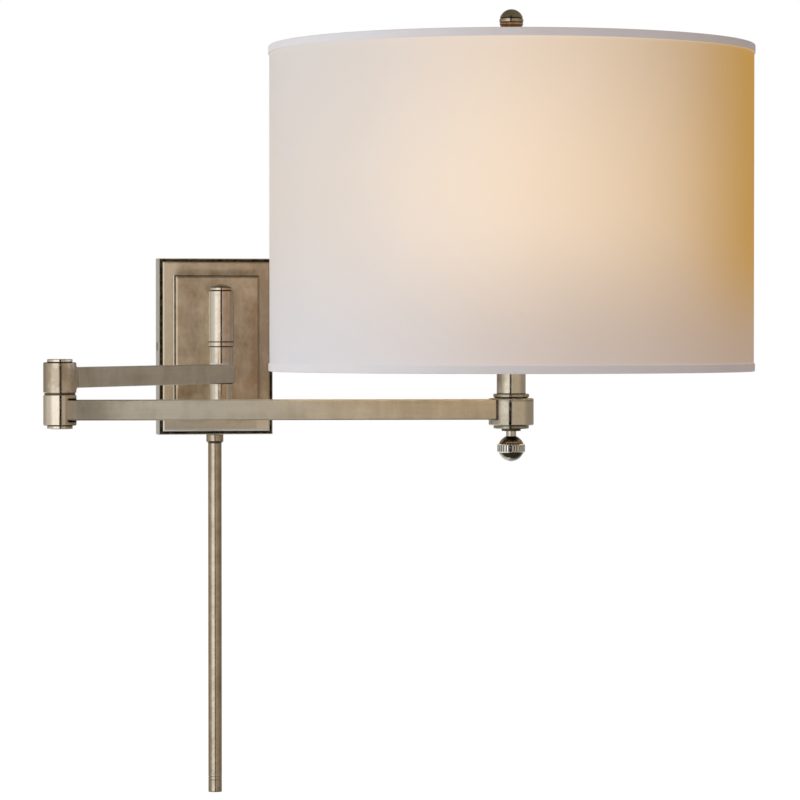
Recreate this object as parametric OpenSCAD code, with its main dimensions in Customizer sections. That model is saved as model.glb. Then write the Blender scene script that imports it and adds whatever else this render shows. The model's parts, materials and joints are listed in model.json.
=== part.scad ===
// Wall-mounted swing-arm pharmacy lamp, in millimetres.
// Origin: centre of the wall plate's back face. +X right, +Z up, the room lies towards -Y.
// The upper arm turns on the wall post, the lower arm on the elbow, the knob on the dimmer.

/* [Wall plate] */
// Width of the wall plate
plate_w = 78.6; // [70:0.2:110]
// Height of the wall plate
plate_h = 120.6; // [108:0.2:170]
// Depth of the plate's plain outer edge
plate_edge = 16; // [15:0.5:24]
// Rise of the bevelled face above the outer edge
face_rise = 3; // [2:0.5:5]
// Rise of the inner panel above the face
panel_rise = 5; // [4:0.5:8]
// Step between the outer edge and the bevelled face
rabbet = 2.4; // [1:0.2:3]
// Width of the face beside the inner panel
band_w = 8.3; // [6:0.1:11]
// Width of the face above and below the inner panel
band_h = 10; // [6:0.1:12]
// Wall thickness of the casting
plate_wall = 2.5; // [2:0.25:3.5]

/* [Wall post] */
// Distance from the inner panel to the post's axis
post_reach = 15.6; // [14:0.2:24]
// Diameter of the tall sleeve
sleeve_d = 17.6; // [15:0.2:20]
// Height of the tall sleeve above the upper knuckle
sleeve_h = 38; // [28:1:48]
// Diameter of the bracket's knuckles
knuckle_d = 16.3; // [15:0.1:20]
// Height of each bracket knuckle, its washer included
knuckle_h = 12; // [9:0.5:16]
// Width of the web that carries the knuckles
web_w = 10; // [8:0.5:12]
// Diameter of the caps at both ends of the post
cap_d = 14.5; // [13.5:0.1:15]
// Diameter of the hollow pivot pins
pin_d = 9.5; // [8:0.5:10]
// Bore of the hollow pivot pins
pin_bore = 5.5; // [4:0.5:6]

/* [Arms] */
// Axis to axis length of the upper arm
upper_len = 226; // [180:1:280]
// Axis to axis length of the lower arm
lower_len = 283; // [220:1:350]
// Height of the arm tubes
arm_h = 12.7; // [10.5:0.1:15]
// Depth of the arm tubes, seen from above
arm_d = 19; // [16:0.5:20]
// Wall thickness of the arm tubes
arm_wall = 1.6; // [1.2:0.1:2.4]
// Corner radius of the arm tubes
arm_round = 0.8; // [0.5:0.1:1.4]
// Diameter of the elbow barrels
barrel_d = 20.7; // [20.2:0.1:26]
// How far each elbow barrel stands out above and below its arm
barrel_over = 3.2; // [2.6:0.1:6]
// Gap between the elbow barrels, filled by the washer
elbow_gap = 1.1; // [0.8:0.1:2]
// Diameter of the elbow's end caps
elbow_cap_d = 16; // [14:0.1:18]
// Thickness of the elbow's end caps
elbow_cap_h = 2.1; // [1.8:0.1:3]
// Radius of the fillet between the upper barrel and its boss
boss_fillet = 1.5; // [1:0.1:2.4]
// Height of the relief grooves above and below the lower barrel's boss
relief_h = 0.9; // [0.5:0.1:1.4]
// Swing of the upper arm from straight out of the wall, to the left
upper_swing = 35; // [0:1:80]
// Angle of the lower arm out from the wall's direction
lower_swing = 6.5; // [0:0.5:40]

/* [Collar and knob] */
// Diameter of the collar at the end of the lower arm
collar_d = 28.4; // [27:0.2:34]
// How far the collar stands out above the lower arm
collar_over = 0.65; // [0.45:0.05:3]
// How far the collar stands out below the lower arm
collar_under = 3.6; // [2.65:0.05:5]
// Diameter of the ring on top of the collar
flange_d = 22.6; // [21:0.2:26]
// Thickness of the ring on top of the collar
flange_h = 2.8; // [2:0.2:4]
// Diameter of the ring below the collar
under_ring_d = 22.3; // [20:0.1:26]
// Thickness of the ring below the collar
under_ring_h = 2.2; // [1.5:0.1:3]
// Diameter of the dimmer's nut
nut_d = 12.1; // [11.6:0.1:14]
// Thickness of the dimmer's nut
nut_h = 1.5; // [1.2:0.1:3]
// Diameter of the dimmer's shaft
shaft_d = 6.3; // [5:0.1:6.5]
// Length of shaft seen between the nut and the knob
shaft_reach = 2.6; // [2:0.2:6]
// Diameter of the ball knob
ball_d = 16.4; // [14:0.2:20]
// Diameter of the knurled ring around the ball
knurl_d = 17.6; // [16.8:0.1:22]
// Height of the knurled ring
knurl_h = 5.5; // [3.5:0.1:6]
// Number of grooves in the knurled ring
knurl_count = 32; // [20:1:40]

/* [Socket and bulb] */
// Diameter of the post below the socket
post_d = 18.3; // [16:0.1:20]
// Height of the post below the socket
post_h = 24.5; // [18:0.5:40]
// Outer diameter of the socket's metal shell
socket_d = 33; // [32:0.2:36]
// Height of the socket above the harp saddle
socket_h = 58; // [54:1:66]
// Diameter of the bulb's globe
bulb_d = 60; // [50:1:66]
// Length of the bulb from its tip to the top of its globe
bulb_len = 106; // [100:1:112]

/* [Harp and shade] */
// Thickness of the harp's wire
harp_wire = 3; // [2.6:0.1:3.4]
// Height of the harp's straight feet
harp_foot = 24; // [16:1:30]
// Outer diameter of the drum shade
shade_d = 304.8; // [270:1:360]
// Height of the drum shade
shade_h = 204; // [200:1:240]
// Wall thickness of the shade
shade_t = 1.5; // [1:0.1:2.5]
// Height of the shade's lower edge above the collar
shade_lift = 17; // [12:1:24]
// Depth of the spider's washer below the shade's top edge
fitter_drop = 8; // [4:1:12]
// Height of the tape around the shade's edges
tape_h = 5; // [3:0.5:9]
// Thickness of the shade's wires
ring_wire = 3.6; // [3:0.1:4.4]
// Diameter of the finial's ball
finial_d = 15.2; // [13:0.2:18]
// Height of the finial
finial_h = 31.5; // [28:0.5:40]

/* [Cord cover] */
// Outer diameter of the cord cover tube
tube_d = 9.3; // [8:0.1:11]
// Wall thickness of the cord cover tube
tube_wall = 0.9; // [0.7:0.1:1.4]
// Length of the cord cover below the wall plate
tube_len = 245.9; // [150:0.1:400]
// Distance from the wall to the cord cover's axis
tube_off = 10.5; // [9:0.1:11]
// Diameter of the ferrule under the plate
ferrule_d = 11.8; // [11.4:0.1:14]
// Height of the ferrule under the plate
ferrule_h = 5.8; // [4:0.1:8]

/* [Fits] */
// Radial clearance of a turning fit
run_fit = 0.05; // [0.03:0.01:0.08]
// Clearance of a fixed fit
seat_fit = 0.02; // [0.01:0.01:0.05]
// Gap between flat faces that turn on each other
face_gap = 0.05; // [0.03:0.01:0.1]
// Thickness of the washers at the wall post
washer_t = 0.6; // [0.4:0.1:1]

/* [Hidden] */
$fn = 96;
eps = 0.01;

// Wall plate
plate_d = plate_edge + face_rise + panel_rise;
face_bevel = 0.9;
panel_bevel = 1.2;
panel_cove = 1.6;
cavity_d = plate_edge + 0.5;
strap_w = 22;
strap_t = 1.8;
strap_h = plate_h - 2 * plate_wall - 8;
slot_spacing = 83.3;
slot_w = 4.6;
slot_len = 12;
lug_h = 16;
lug_d = 10.5;
lug_gap = 0.4;
side_screw_d = 4;
side_head_d = 6.6;
side_head_h = 1.4;

// Wall post, measured down from the joint between sleeve and bracket at z = 0
pivot_y = plate_d + post_reach;
hub_top = -knuckle_h;
hub_bottom = hub_top - arm_h;
bracket_bottom = hub_bottom - knuckle_h;
bracket_top = sleeve_h - 1;
cap_h = 2.3;
dome_h = 2.1;
cap_boss_h = 5;
sleeve_floor = 4;
sleeve_bore = 12.8;
screw_z = [28, -31];
wire_hole_d = 5.2;

// Arms
upper_z = hub_top - arm_h / 2;
barrel_h = arm_h + 2 * barrel_over;
lower_z = upper_z - barrel_h - elbow_gap;
barrel_r = barrel_d / 2;
boss_step = 0.3;
upper_boss_r = barrel_r + boss_fillet;
lower_boss_x = barrel_r + boss_step;
tongue_len = 5;
relief_chord = 5;
relief_web = 7;
lead_d = 4.6;
lead_clear = 0.1;
hub_r = arm_d / 2;
hub_wire_d = 6;

// Collar, dimmer and knob
collar_top = lower_z + arm_h / 2 + collar_over;
collar_bottom = lower_z - arm_h / 2 - collar_under;
collar_h = collar_top - collar_bottom;
collar_bore = 19;
collar_floor = 2.4;
pocket_chord = 10.2;
pocket_gap = 0.25;
bushing_d = 9.5;
dimmer_body_d = 18;
dimmer_body_h = 9;
ring_bottom = collar_bottom - under_ring_h;
nut_bottom = ring_bottom - nut_h;
ball_z = nut_bottom - shaft_reach - ball_d / 2;

// Socket, harp and shade
nipple_d = 9.6;
nipple_bore = 6.4;
post_bottom = collar_top + flange_h;
post_top = post_bottom + post_h;
saddle_t = 1.5;
saddle_top = post_top + saddle_t;
shade_bottom = collar_top + shade_lift;
shade_top = shade_bottom + shade_h;
shade_r = shade_d / 2;
tape_t = 0.4;
ring_gap = 0.1;
ring_r = shade_r - shade_t - ring_wire / 2 - ring_gap;
washer_top = shade_top - fitter_drop;
spider_t = 1.6;
harp_r = harp_wire / 2;
wire_fn = 32;
harp_base = 24;
harp_top = washer_top - spider_t - 3;
flare_r = 24;
flare_a = 40;
crown_a = 35;
ear_t = 1.5;
ear_x = harp_base + harp_r + 0.1;
ear_h = 12;
sleeve_x = harp_base + 0.9;
stud_d = 6.2;
cup_h = 16;
shell_t = 0.8;
liner_t = 1;
core_h = 22;
screw_cap_d = 26.4;
bulb_tip = saddle_top + core_h + 1.2;
bulb_top = bulb_tip + bulb_len;

// Harp outline: a straight foot, a flare outwards, a long side and a crown, each tangent to the next
flare_x = harp_base + flare_r * (1 - cos(flare_a));
flare_rise = flare_r * sin(flare_a);
crown_slope = (1 - sin(crown_a)) / cos(crown_a);
side_spread = cos(crown_a) - cos(flare_a);
curved_rise = harp_top - saddle_top - harp_foot - flare_rise - crown_slope * flare_x;
harp_side_r = curved_rise / (sin(flare_a) + sin(crown_a) + crown_slope * side_spread);
side_x = flare_x + harp_side_r * side_spread;
side_rise = harp_side_r * (sin(flare_a) + sin(crown_a));
crown_r = side_x / cos(crown_a);

// ---------------------------------------------------------------- places

module at_pivot() {
    translate([0, -pivot_y, 0]) children();
}

// Upper arm's frame: origin on the wall post's axis, +X towards the elbow
module in_upper_arm() {
    at_pivot() rotate([0, 0, -90 - upper_swing]) children();
}

// Elbow's place, turned with the upper arm
module at_elbow() {
    in_upper_arm() translate([upper_len, 0, 0]) children();
}

// Lower arm's frame: origin on the elbow's axis, +X towards the collar
module in_lower_arm() {
    at_elbow() rotate([0, 0, 90 + upper_swing - lower_swing]) children();
}

// Collar's place, turned back so that its X is the room's X
module at_collar() {
    in_lower_arm() translate([lower_len, 0, 0]) rotate([0, 0, lower_swing]) children();
}

// ---------------------------------------------------------------- shapes

module tube(od, id, h) {
    difference() {
        cylinder(d = od, h = h);
        translate([0, 0, -1]) cylinder(d = id, h = h + 2);
    }
}

// A disc whose rim has a small bevel at its top and its bottom
module bevelled_disc(d, h, bevel) {
    rotate_extrude() polygon([
        [0, 0], [d / 2 - bevel, 0], [d / 2, bevel],
        [d / 2, h - bevel], [d / 2 - bevel, h], [0, h]
    ]);
}

// A low dome over a disc of the given diameter
module dome(d, h) {
    ball_r = (d * d / 4 + h * h) / (2 * h);
    rotate_extrude() intersection() {
        translate([0, h - ball_r]) circle(r = ball_r, $fn = 256);
        square([d / 2, h]);
    }
}

module cap_with_dome() {
    bevelled_disc(cap_d, cap_h, 0.4);
    translate([0, 0, cap_h]) dome(cap_d - 1.6, dome_h);
}

// A slot with round ends along Z, cut through along Y
module slot_cut(w, length, depth) {
    rotate([90, 0, 0]) translate([0, 0, -depth / 2]) {
        for (side = [-1, 1]) translate([0, side * (length - w) / 2, 0]) cylinder(d = w, h = depth);
        translate([-w / 2, -(length - w) / 2, 0]) cube([w, length - w, depth]);
    }
}

// ---------------------------------------------------------------- wall plate

// Cross-section of the plate: outer edge, rabbet, bevelled face, cove and panel
module plate_section(width, band) {
    face_half = width / 2 - rabbet;
    panel_half = face_half - band;
    face_y = plate_edge + face_rise;
    translate([-width / 2, 0]) square([width, plate_edge]);
    polygon([
        [-face_half, 0], [-face_half, face_y - face_bevel], [-face_half + face_bevel, face_y],
        [face_half - face_bevel, face_y], [face_half, face_y - face_bevel], [face_half, 0]
    ]);
    difference() {
        translate([-panel_half - panel_cove, 0])
            square([2 * (panel_half + panel_cove), face_y + panel_cove]);
        for (side = [-1, 1]) translate([side * (panel_half + panel_cove), face_y + panel_cove])
            circle(r = panel_cove);
    }
    polygon([
        [-panel_half, 0], [-panel_half, plate_d - panel_bevel], [-panel_half + panel_bevel, plate_d],
        [panel_half - panel_bevel, plate_d], [panel_half, plate_d - panel_bevel], [panel_half, 0]
    ]);
}

// The section run along both directions: where the two prisms meet, the mouldings mitre
module plate_body() {
    intersection() {
        translate([0, 0, -plate_h / 2])
            linear_extrude(plate_h) mirror([0, 1]) plate_section(plate_w, band_w);
        rotate([0, 90, 0]) translate([0, 0, -plate_w / 2])
            linear_extrude(plate_w) mirror([0, 1]) plate_section(plate_h, band_h);
    }
}

module backplate() {
    inner_w = plate_w - 2 * plate_wall;
    inner_h = plate_h - 2 * plate_wall;
    pocket_w = plate_w - 2 * (rabbet + band_w) - 5;
    pocket_h = plate_h - 2 * (rabbet + band_h) - 5;
    pocket_d = plate_d - 3.5;
    color("tan") difference() {
        plate_body();
        translate([-inner_w / 2, -cavity_d, -inner_h / 2]) cube([inner_w, cavity_d + 1, inner_h]);
        translate([-pocket_w / 2, -pocket_d, -pocket_h / 2]) cube([pocket_w, pocket_d, pocket_h]);
        for (side = [-1, 1]) side_screw_place(side) {
            translate([0, 0, -8]) cylinder(d = side_screw_d + 0.4, h = 16);
            translate([0, 0, -side_head_h]) cylinder(d = side_head_d + 0.3, h = side_head_h + 1);
        }
        translate([0, -tube_off, -plate_h / 2 - 1]) cylinder(d = tube_d + 2 * seat_fit, h = plate_wall + 2);
        for (z = screw_z) translate([0, -plate_d + 5, z]) rotate([90, 0, 0]) cylinder(d = 4.4, h = 8);
        wire_passage();
    }
}

// Place of a side screw: its axis is the local Z, which points out of the plate's side
module side_screw_place(side) {
    translate([side * plate_w / 2, -lug_d / 2 - strap_t / 2, 0]) rotate([0, side * 90, 0]) children();
}

module side_screws() {
    color("silver") for (side = [-1, 1]) side_screw_place(side) {
        translate([0, 0, -side_head_h]) difference() {
            bevelled_disc(side_head_d, side_head_h, 0.3);
            translate([-side_head_d, -0.4, side_head_h - 0.6]) cube([2 * side_head_d, 0.8, 1]);
        }
        translate([0, 0, -side_head_h - 5.5]) cylinder(d = side_screw_d, h = 5.5);
    }
}

// Stamped strap that is screwed to the wall box: two slots, and two bent lugs for the side screws
module wall_strap() {
    lug_x = plate_w / 2 - plate_wall - lug_gap;
    color("silver") difference() {
        union() {
            translate([-strap_w / 2, -strap_t, -strap_h / 2]) cube([strap_w, strap_t, strap_h]);
            translate([-lug_x, -strap_t, -lug_h / 2]) cube([2 * lug_x, strap_t, lug_h]);
            for (side = [-1, 1]) translate([side * (lug_x - strap_t / 2) - strap_t / 2, -lug_d, -lug_h / 2])
                cube([strap_t, lug_d, lug_h]);
        }
        for (side = [-1, 1]) {
            translate([0, 0, side * slot_spacing / 2]) slot_cut(slot_w, slot_len, 10);
            side_screw_place(side) translate([0, 0, -12]) cylinder(d = side_screw_d + 2 * seat_fit, h = 12);
        }
    }
}

// Two-way screw connector for the wires, on the strap
module terminal_block() {
    block_w = 20;
    block_h = 14;
    block_d = 9;
    color("ivory") translate([-block_w / 2, -strap_t - block_d, -33]) difference() {
        cube([block_w, block_d, block_h]);
        for (side = [-1, 1]) translate([block_w / 2 + side * 5, block_d / 2, -1])
            cylinder(d = 4, h = block_h + 2);
        for (side = [-1, 1]) translate([block_w / 2 + side * 5, -1, block_h / 2]) rotate([-90, 0, 0])
            cylinder(d = 3.4, h = 4);
        translate([block_w / 2 - 0.75, -1, -1]) cube([1.5, 4, block_h + 2]);
    }
}

// ---------------------------------------------------------------- wall post

// Path of the wires: out of the plate, through the web and into the hollow pin
module wire_passage() {
    translate([0, -plate_d + 5, hub_top / 2]) rotate([90, 0, 0])
        cylinder(d = wire_hole_d, h = post_reach + 5);
}

module pivot_bracket() {
    hub_room = hub_r + 0.7;
    color("tan") difference() {
        union() {
            translate([-web_w / 2, -pivot_y, bracket_bottom])
                cube([web_w, post_reach, bracket_top - bracket_bottom]);
            at_pivot() translate([0, 0, hub_top + washer_t])
                cylinder(d = knuckle_d, h = knuckle_h - washer_t);
            at_pivot() translate([0, 0, bracket_bottom]) cylinder(d = knuckle_d, h = knuckle_h - washer_t);
        }
        at_pivot() translate([-hub_room, -hub_room, hub_bottom - washer_t])
            cube([2 * hub_room, 2 * hub_room, arm_h + 2 * washer_t]);
        at_pivot() cylinder(d = sleeve_d + 2 * seat_fit, h = bracket_top + 1);
        at_pivot() translate([0, 0, bracket_bottom - 1]) cylinder(d = pin_d + 2 * seat_fit, h = 100);
        for (z = screw_z) translate([0, -plate_d + 5, z]) rotate([90, 0, 0])
            cylinder(d = 4 + 2 * seat_fit, h = 11.5);
        wire_passage();
    }
}

// Two screws from inside the plate into the bracket's web
module bracket_screws() {
    head_y = -plate_d + 3.5;
    color("silver") for (z = screw_z) translate([0, head_y, z]) {
        rotate([-90, 0, 0]) difference() {
            bevelled_disc(7, 3, 0.4);
            translate([0, 0, 1.4]) cylinder(d = 3.4, h = 3, $fn = 6);
        }
        rotate([90, 0, 0]) cylinder(d = 4, h = 9.5);
    }
}

module pivot_pin() {
    bottom = bracket_bottom - 1.6;
    top = sleeve_h - 1.5;
    color("silver") at_pivot() difference() {
        translate([0, 0, bottom]) tube(pin_d, pin_bore, top - bottom);
        translate([0, 0, hub_top / 2]) rotate([-90, 0, 0]) cylinder(d = wire_hole_d, h = pin_d);
        translate([0, -pin_d, upper_z]) rotate([-90, 0, 0]) cylinder(d = wire_hole_d, h = pin_d);
    }
}

// Thin washers above and below the arm's hub
module pivot_washers() {
    color("dimgray") at_pivot() for (z = [hub_top + face_gap, hub_bottom - washer_t])
        translate([0, 0, z]) tube(knuckle_d - 0.6, pin_d + 2 * seat_fit, washer_t - face_gap);
}

module pivot_sleeve() {
    line_z = 3.25;
    color("wheat") at_pivot() difference() {
        rotate_extrude() difference() {
            polygon([
                [0, 0], [sleeve_d / 2 - 0.4, 0], [sleeve_d / 2, 0.4],
                [sleeve_d / 2, sleeve_h - 0.5], [sleeve_d / 2 - 0.5, sleeve_h], [0, sleeve_h]
            ]);
            translate([sleeve_d / 2, line_z]) circle(r = 0.25, $fn = 32);
        }
        translate([0, 0, sleeve_floor]) cylinder(d = sleeve_bore, h = sleeve_h);
        translate([0, 0, -1]) cylinder(d = pin_d + 2 * seat_fit, h = sleeve_floor + 2);
    }
}

module pivot_cap() {
    color("wheat") at_pivot() translate([0, 0, sleeve_h]) {
        cap_with_dome();
        translate([0, 0, -cap_boss_h])
            tube(sleeve_bore - 2 * seat_fit, pin_d + 2 * seat_fit, cap_boss_h + eps);
    }
}

module pivot_base_cap() {
    color("wheat") at_pivot() translate([0, 0, bracket_bottom]) mirror([0, 0, 1]) difference() {
        cap_with_dome();
        translate([0, 0, -1]) cylinder(d = pin_d + 2 * seat_fit, h = 1 + 1.8);
    }
}

// ---------------------------------------------------------------- cord cover

// Long tube, threaded into the plate from below, with two fine lines near its lower end
module cord_tube() {
    top = -plate_h / 2 + plate_wall + 3.4;
    bottom = -plate_h / 2 - tube_len;
    color("tan") translate([0, -tube_off, 0]) difference() {
        translate([0, 0, bottom]) tube(tube_d, tube_d - 2 * tube_wall, top - bottom);
        for (up = [8.4, 10.5]) translate([0, 0, bottom + up]) rotate_extrude()
            translate([tube_d / 2 + 0.1, 0]) circle(r = 0.3, $fn = 32);
    }
}

module tube_ferrule() {
    round_r = 1.4;
    color("tan") translate([0, -tube_off, -plate_h / 2]) mirror([0, 0, 1]) difference() {
        rotate_extrude() {
            square([ferrule_d / 2, ferrule_h - round_r]);
            square([ferrule_d / 2 - round_r, ferrule_h]);
            translate([ferrule_d / 2 - round_r, ferrule_h - round_r]) circle(r = round_r);
        }
        translate([0, 0, -1]) cylinder(d = tube_d + 2 * seat_fit, h = ferrule_h + 2);
    }
}

module tube_locknut() {
    color("silver") translate([0, -tube_off, -plate_h / 2 + plate_wall]) difference() {
        cylinder(d = 12, h = 3, $fn = 6);
        translate([0, 0, -1]) cylinder(d = tube_d + 2 * seat_fit, h = 5);
    }
}

// Insulating bush in the tube's lower mouth, where a supply cord would come out
module tube_bush() {
    bush_h = 9;
    color("dimgray") translate([0, -tube_off, -plate_h / 2 - tube_len + 0.4])
        tube(tube_d - 2 * tube_wall - 2 * seat_fit, 5.2, bush_h);
}

// ---------------------------------------------------------------- upper arm

// Section of an arm tube, or of its bore, with rounded corners
module arm_section(inset) {
    half_d = arm_d / 2 - inset;
    half_h = arm_h / 2 - inset;
    corner_r = max(arm_round - inset, 0.4);
    square([2 * half_d, 2 * (half_h - corner_r)], center = true);
    square([2 * (half_d - corner_r), 2 * half_h], center = true);
    for (x = [-1, 1], y = [-1, 1]) translate([x * (half_d - corner_r), y * (half_h - corner_r)])
        circle(r = corner_r, $fn = 32);
}

// A straight bar of that section, along the arm
module arm_bar(from, to, inset = 0) {
    translate([from, 0, 0]) rotate([90, 0, 90]) linear_extrude(to - from) arm_section(inset);
}

// Rectangular tube with a round hub at its wall end, coped to fit the upper barrel's boss
module upper_arm_tube() {
    hollow_start = hub_r + 1;
    color("gray") in_upper_arm() translate([0, 0, upper_z]) difference() {
        union() {
            rotate([0, 0, 90]) rotate_extrude(angle = 180) intersection() {
                arm_section(0);
                translate([0, -arm_h]) square([arm_d, 2 * arm_h]);
            }
            arm_bar(0, upper_len);
        }
        arm_bar(hollow_start, upper_len + 1, arm_wall);
        translate([upper_len, 0, -arm_h]) cylinder(r = upper_boss_r + seat_fit, h = 2 * arm_h);
        translate([0, 0, -arm_h]) cylinder(d = pin_d + 2 * run_fit, h = 2 * arm_h);
        rotate([0, 90, 0]) cylinder(d = hub_wire_d, h = hollow_start + 1);
    }
}

// Straight stretch of two-core lead that lies on the floor of an arm tube
module arm_lead(from, to) {
    translate([from, 0, -arm_h / 2 + arm_wall + lead_d / 2 + lead_clear]) rotate([0, 90, 0])
        cylinder(d = lead_d, h = to - from);
}

module upper_arm_lead() {
    color("white") in_upper_arm() translate([0, 0, upper_z])
        arm_lead(hub_r + 2, upper_len - upper_boss_r - tongue_len - 1);
}

// Ring round a barrel, on top of its boss, with a hollow rounded face
module fillet_ring() {
    rotate_extrude() difference() {
        translate([barrel_r - 1, 0]) square([boss_fillet + 1, boss_fillet]);
        translate([upper_boss_r, boss_fillet]) circle(r = boss_fillet);
    }
}

// Upper barrel of the elbow: its boss has the arm's section, fillets and a tongue inside the tube
module upper_barrel() {
    color("wheat") at_elbow() translate([0, 0, upper_z]) difference() {
        union() {
            translate([0, 0, -barrel_h / 2]) bevelled_disc(barrel_d, barrel_h, 0.5);
            intersection() {
                arm_bar(-barrel_d, 0);
                translate([0, 0, -barrel_h]) cylinder(r = upper_boss_r, h = 2 * barrel_h);
            }
            intersection() {
                for (side = [0, 1]) mirror([0, 0, side]) translate([0, 0, arm_h / 2]) fillet_ring();
                translate([-barrel_d, arm_round - arm_d / 2, -barrel_h])
                    cube([barrel_d, arm_d - 2 * arm_round, 2 * barrel_h]);
            }
            arm_bar(-upper_boss_r - tongue_len, 0, arm_wall + seat_fit);
        }
        translate([0, 0, -barrel_h]) cylinder(d = pin_d + 2 * seat_fit, h = 2 * barrel_h);
        rotate([0, -90, 0]) cylinder(d = hub_wire_d, h = upper_boss_r + tongue_len + 1);
    }
}

module elbow_pin() {
    recess = elbow_cap_h - 0.8;
    bottom = lower_z - barrel_h / 2 - face_gap - recess;
    top = upper_z + barrel_h / 2 + recess;
    color("silver") at_elbow() difference() {
        translate([0, 0, bottom]) tube(pin_d, pin_bore, top - bottom);
        translate([0, 0, upper_z]) rotate([0, -90, 0]) cylinder(d = wire_hole_d, h = pin_d);
        translate([0, 0, lower_z]) rotate([0, 90, 0]) cylinder(d = wire_hole_d, h = pin_d);
    }
}

module elbow_washer() {
    color("dimgray") at_elbow() translate([0, 0, upper_z - barrel_h / 2 - elbow_gap + face_gap])
        tube(barrel_d - 1.4, pin_d + 2 * seat_fit, elbow_gap - face_gap);
}

module elbow_cap() {
    difference() {
        bevelled_disc(elbow_cap_d, elbow_cap_h, 0.35);
        translate([0, 0, -1]) cylinder(d = pin_d + 2 * seat_fit, h = 1 + elbow_cap_h - 0.8);
    }
}

module elbow_top_cap() {
    color("wheat") at_elbow() translate([0, 0, upper_z + barrel_h / 2]) elbow_cap();
}

module elbow_bottom_cap() {
    color("wheat") at_elbow() translate([0, 0, lower_z - barrel_h / 2 - face_gap]) mirror([0, 0, 1])
        elbow_cap();
}

// ---------------------------------------------------------------- lower arm

// Rectangular tube between the lower barrel's boss and the pocket of the collar
module lower_arm_tube() {
    end = lower_len - pocket_chord - pocket_gap;
    color("gray") in_lower_arm() translate([0, 0, lower_z]) difference() {
        arm_bar(lower_boss_x, end);
        arm_bar(lower_boss_x - 1, end + 1, arm_wall);
    }
}

module lower_arm_lead() {
    color("white") in_lower_arm() translate([0, 0, lower_z])
        arm_lead(lower_boss_x + tongue_len + 1, lower_len - pocket_chord - 1);
}

// Lower barrel of the elbow: its boss has the arm's section, with relief grooves above and below
module lower_barrel() {
    color("wheat") in_lower_arm() translate([0, 0, lower_z]) difference() {
        union() {
            translate([0, 0, -barrel_h / 2]) bevelled_disc(barrel_d, barrel_h, 0.5);
            arm_bar(0, lower_boss_x);
            arm_bar(0, lower_boss_x + tongue_len, arm_wall + seat_fit);
        }
        for (up = [0, 1], side = [0, 1]) mirror([0, 0, up]) mirror([0, side, 0])
            translate([relief_chord, relief_web / 2, arm_h / 2]) cube([barrel_d, barrel_d, relief_h]);
        translate([0, 0, -barrel_h]) cylinder(d = pin_d + 2 * run_fit, h = 2 * barrel_h);
        rotate([0, 90, 0]) cylinder(d = hub_wire_d, h = barrel_d);
    }
}

// Hollow collar that holds the dimmer, with a pocket for the arm's end
module collar_barrel() {
    color("wheat") at_collar() difference() {
        translate([0, 0, collar_bottom]) bevelled_disc(collar_d, collar_h, 0.5);
        translate([0, 0, collar_bottom + collar_floor]) cylinder(d = collar_bore, h = collar_h);
        translate([0, 0, collar_bottom - 1]) cylinder(d = bushing_d + 2 * seat_fit, h = collar_h);
        rotate([0, 0, -lower_swing]) translate([0, 0, lower_z]) {
            translate([-collar_d - pocket_chord, -arm_d / 2 - pocket_gap, -arm_h / 2 - pocket_gap])
                cube([collar_d, arm_d + 2 * pocket_gap, arm_h + 2 * pocket_gap]);
            rotate([0, -90, 0]) cylinder(d = hub_wire_d, h = collar_d);
        }
    }
}

module collar_flange() {
    shadow_h = 0.6;
    spigot_h = 2;
    color("tan") at_collar() translate([0, 0, collar_top]) difference() {
        union() {
            translate([0, 0, shadow_h]) bevelled_disc(flange_d, flange_h - shadow_h, 0.4);
            cylinder(d = flange_d - 1.6, h = shadow_h + eps);
            translate([0, 0, -spigot_h]) cylinder(d = collar_bore - 2 * seat_fit, h = spigot_h + eps);
        }
        translate([0, 0, -spigot_h - 1]) cylinder(d = nipple_d + 2 * seat_fit, h = spigot_h + flange_h + 2);
    }
}

module collar_ring() {
    color("tan") at_collar() translate([0, 0, ring_bottom]) difference() {
        bevelled_disc(under_ring_d, under_ring_h, 0.4);
        translate([0, 0, -1]) cylinder(d = bushing_d + 2 * seat_fit, h = under_ring_h + 2);
    }
}

// Rotary dimmer: body inside the collar, threaded bushing down through the floor and the ring
module dimmer_body() {
    body_z = collar_bottom + collar_floor;
    color("dimgray") at_collar() difference() {
        union() {
            translate([0, 0, body_z]) cylinder(d = dimmer_body_d, h = dimmer_body_h);
            translate([0, 0, nut_bottom]) cylinder(d = bushing_d, h = body_z - nut_bottom + eps);
        }
        translate([0, 0, nut_bottom - 1]) cylinder(d = shaft_d + 2 * run_fit, h = body_z + 5 - nut_bottom);
    }
}

module dimmer_nut() {
    color("silver") at_collar() translate([0, 0, nut_bottom]) difference() {
        bevelled_disc(nut_d, nut_h, 0.3);
        translate([0, 0, -1]) cylinder(d = bushing_d + 2 * seat_fit, h = nut_h + 2);
    }
}

// ---------------------------------------------------------------- socket

module socket_post() {
    color("wheat") at_collar() translate([0, 0, post_bottom]) difference() {
        bevelled_disc(post_d, post_h, 0.3);
        translate([0, 0, 3]) cylinder(d = post_d - 4, h = post_h - 6);
        translate([0, 0, -1]) cylinder(d = nipple_d + 2 * seat_fit, h = post_h + 2);
    }
}

// Hollow threaded tube that clamps the post, the saddle and the socket cup
module socket_nipple() {
    bottom = collar_top - 2;
    color("silver") at_collar() translate([0, 0, bottom])
        tube(nipple_d, nipple_bore, saddle_top + 5 - bottom);
}

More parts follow.
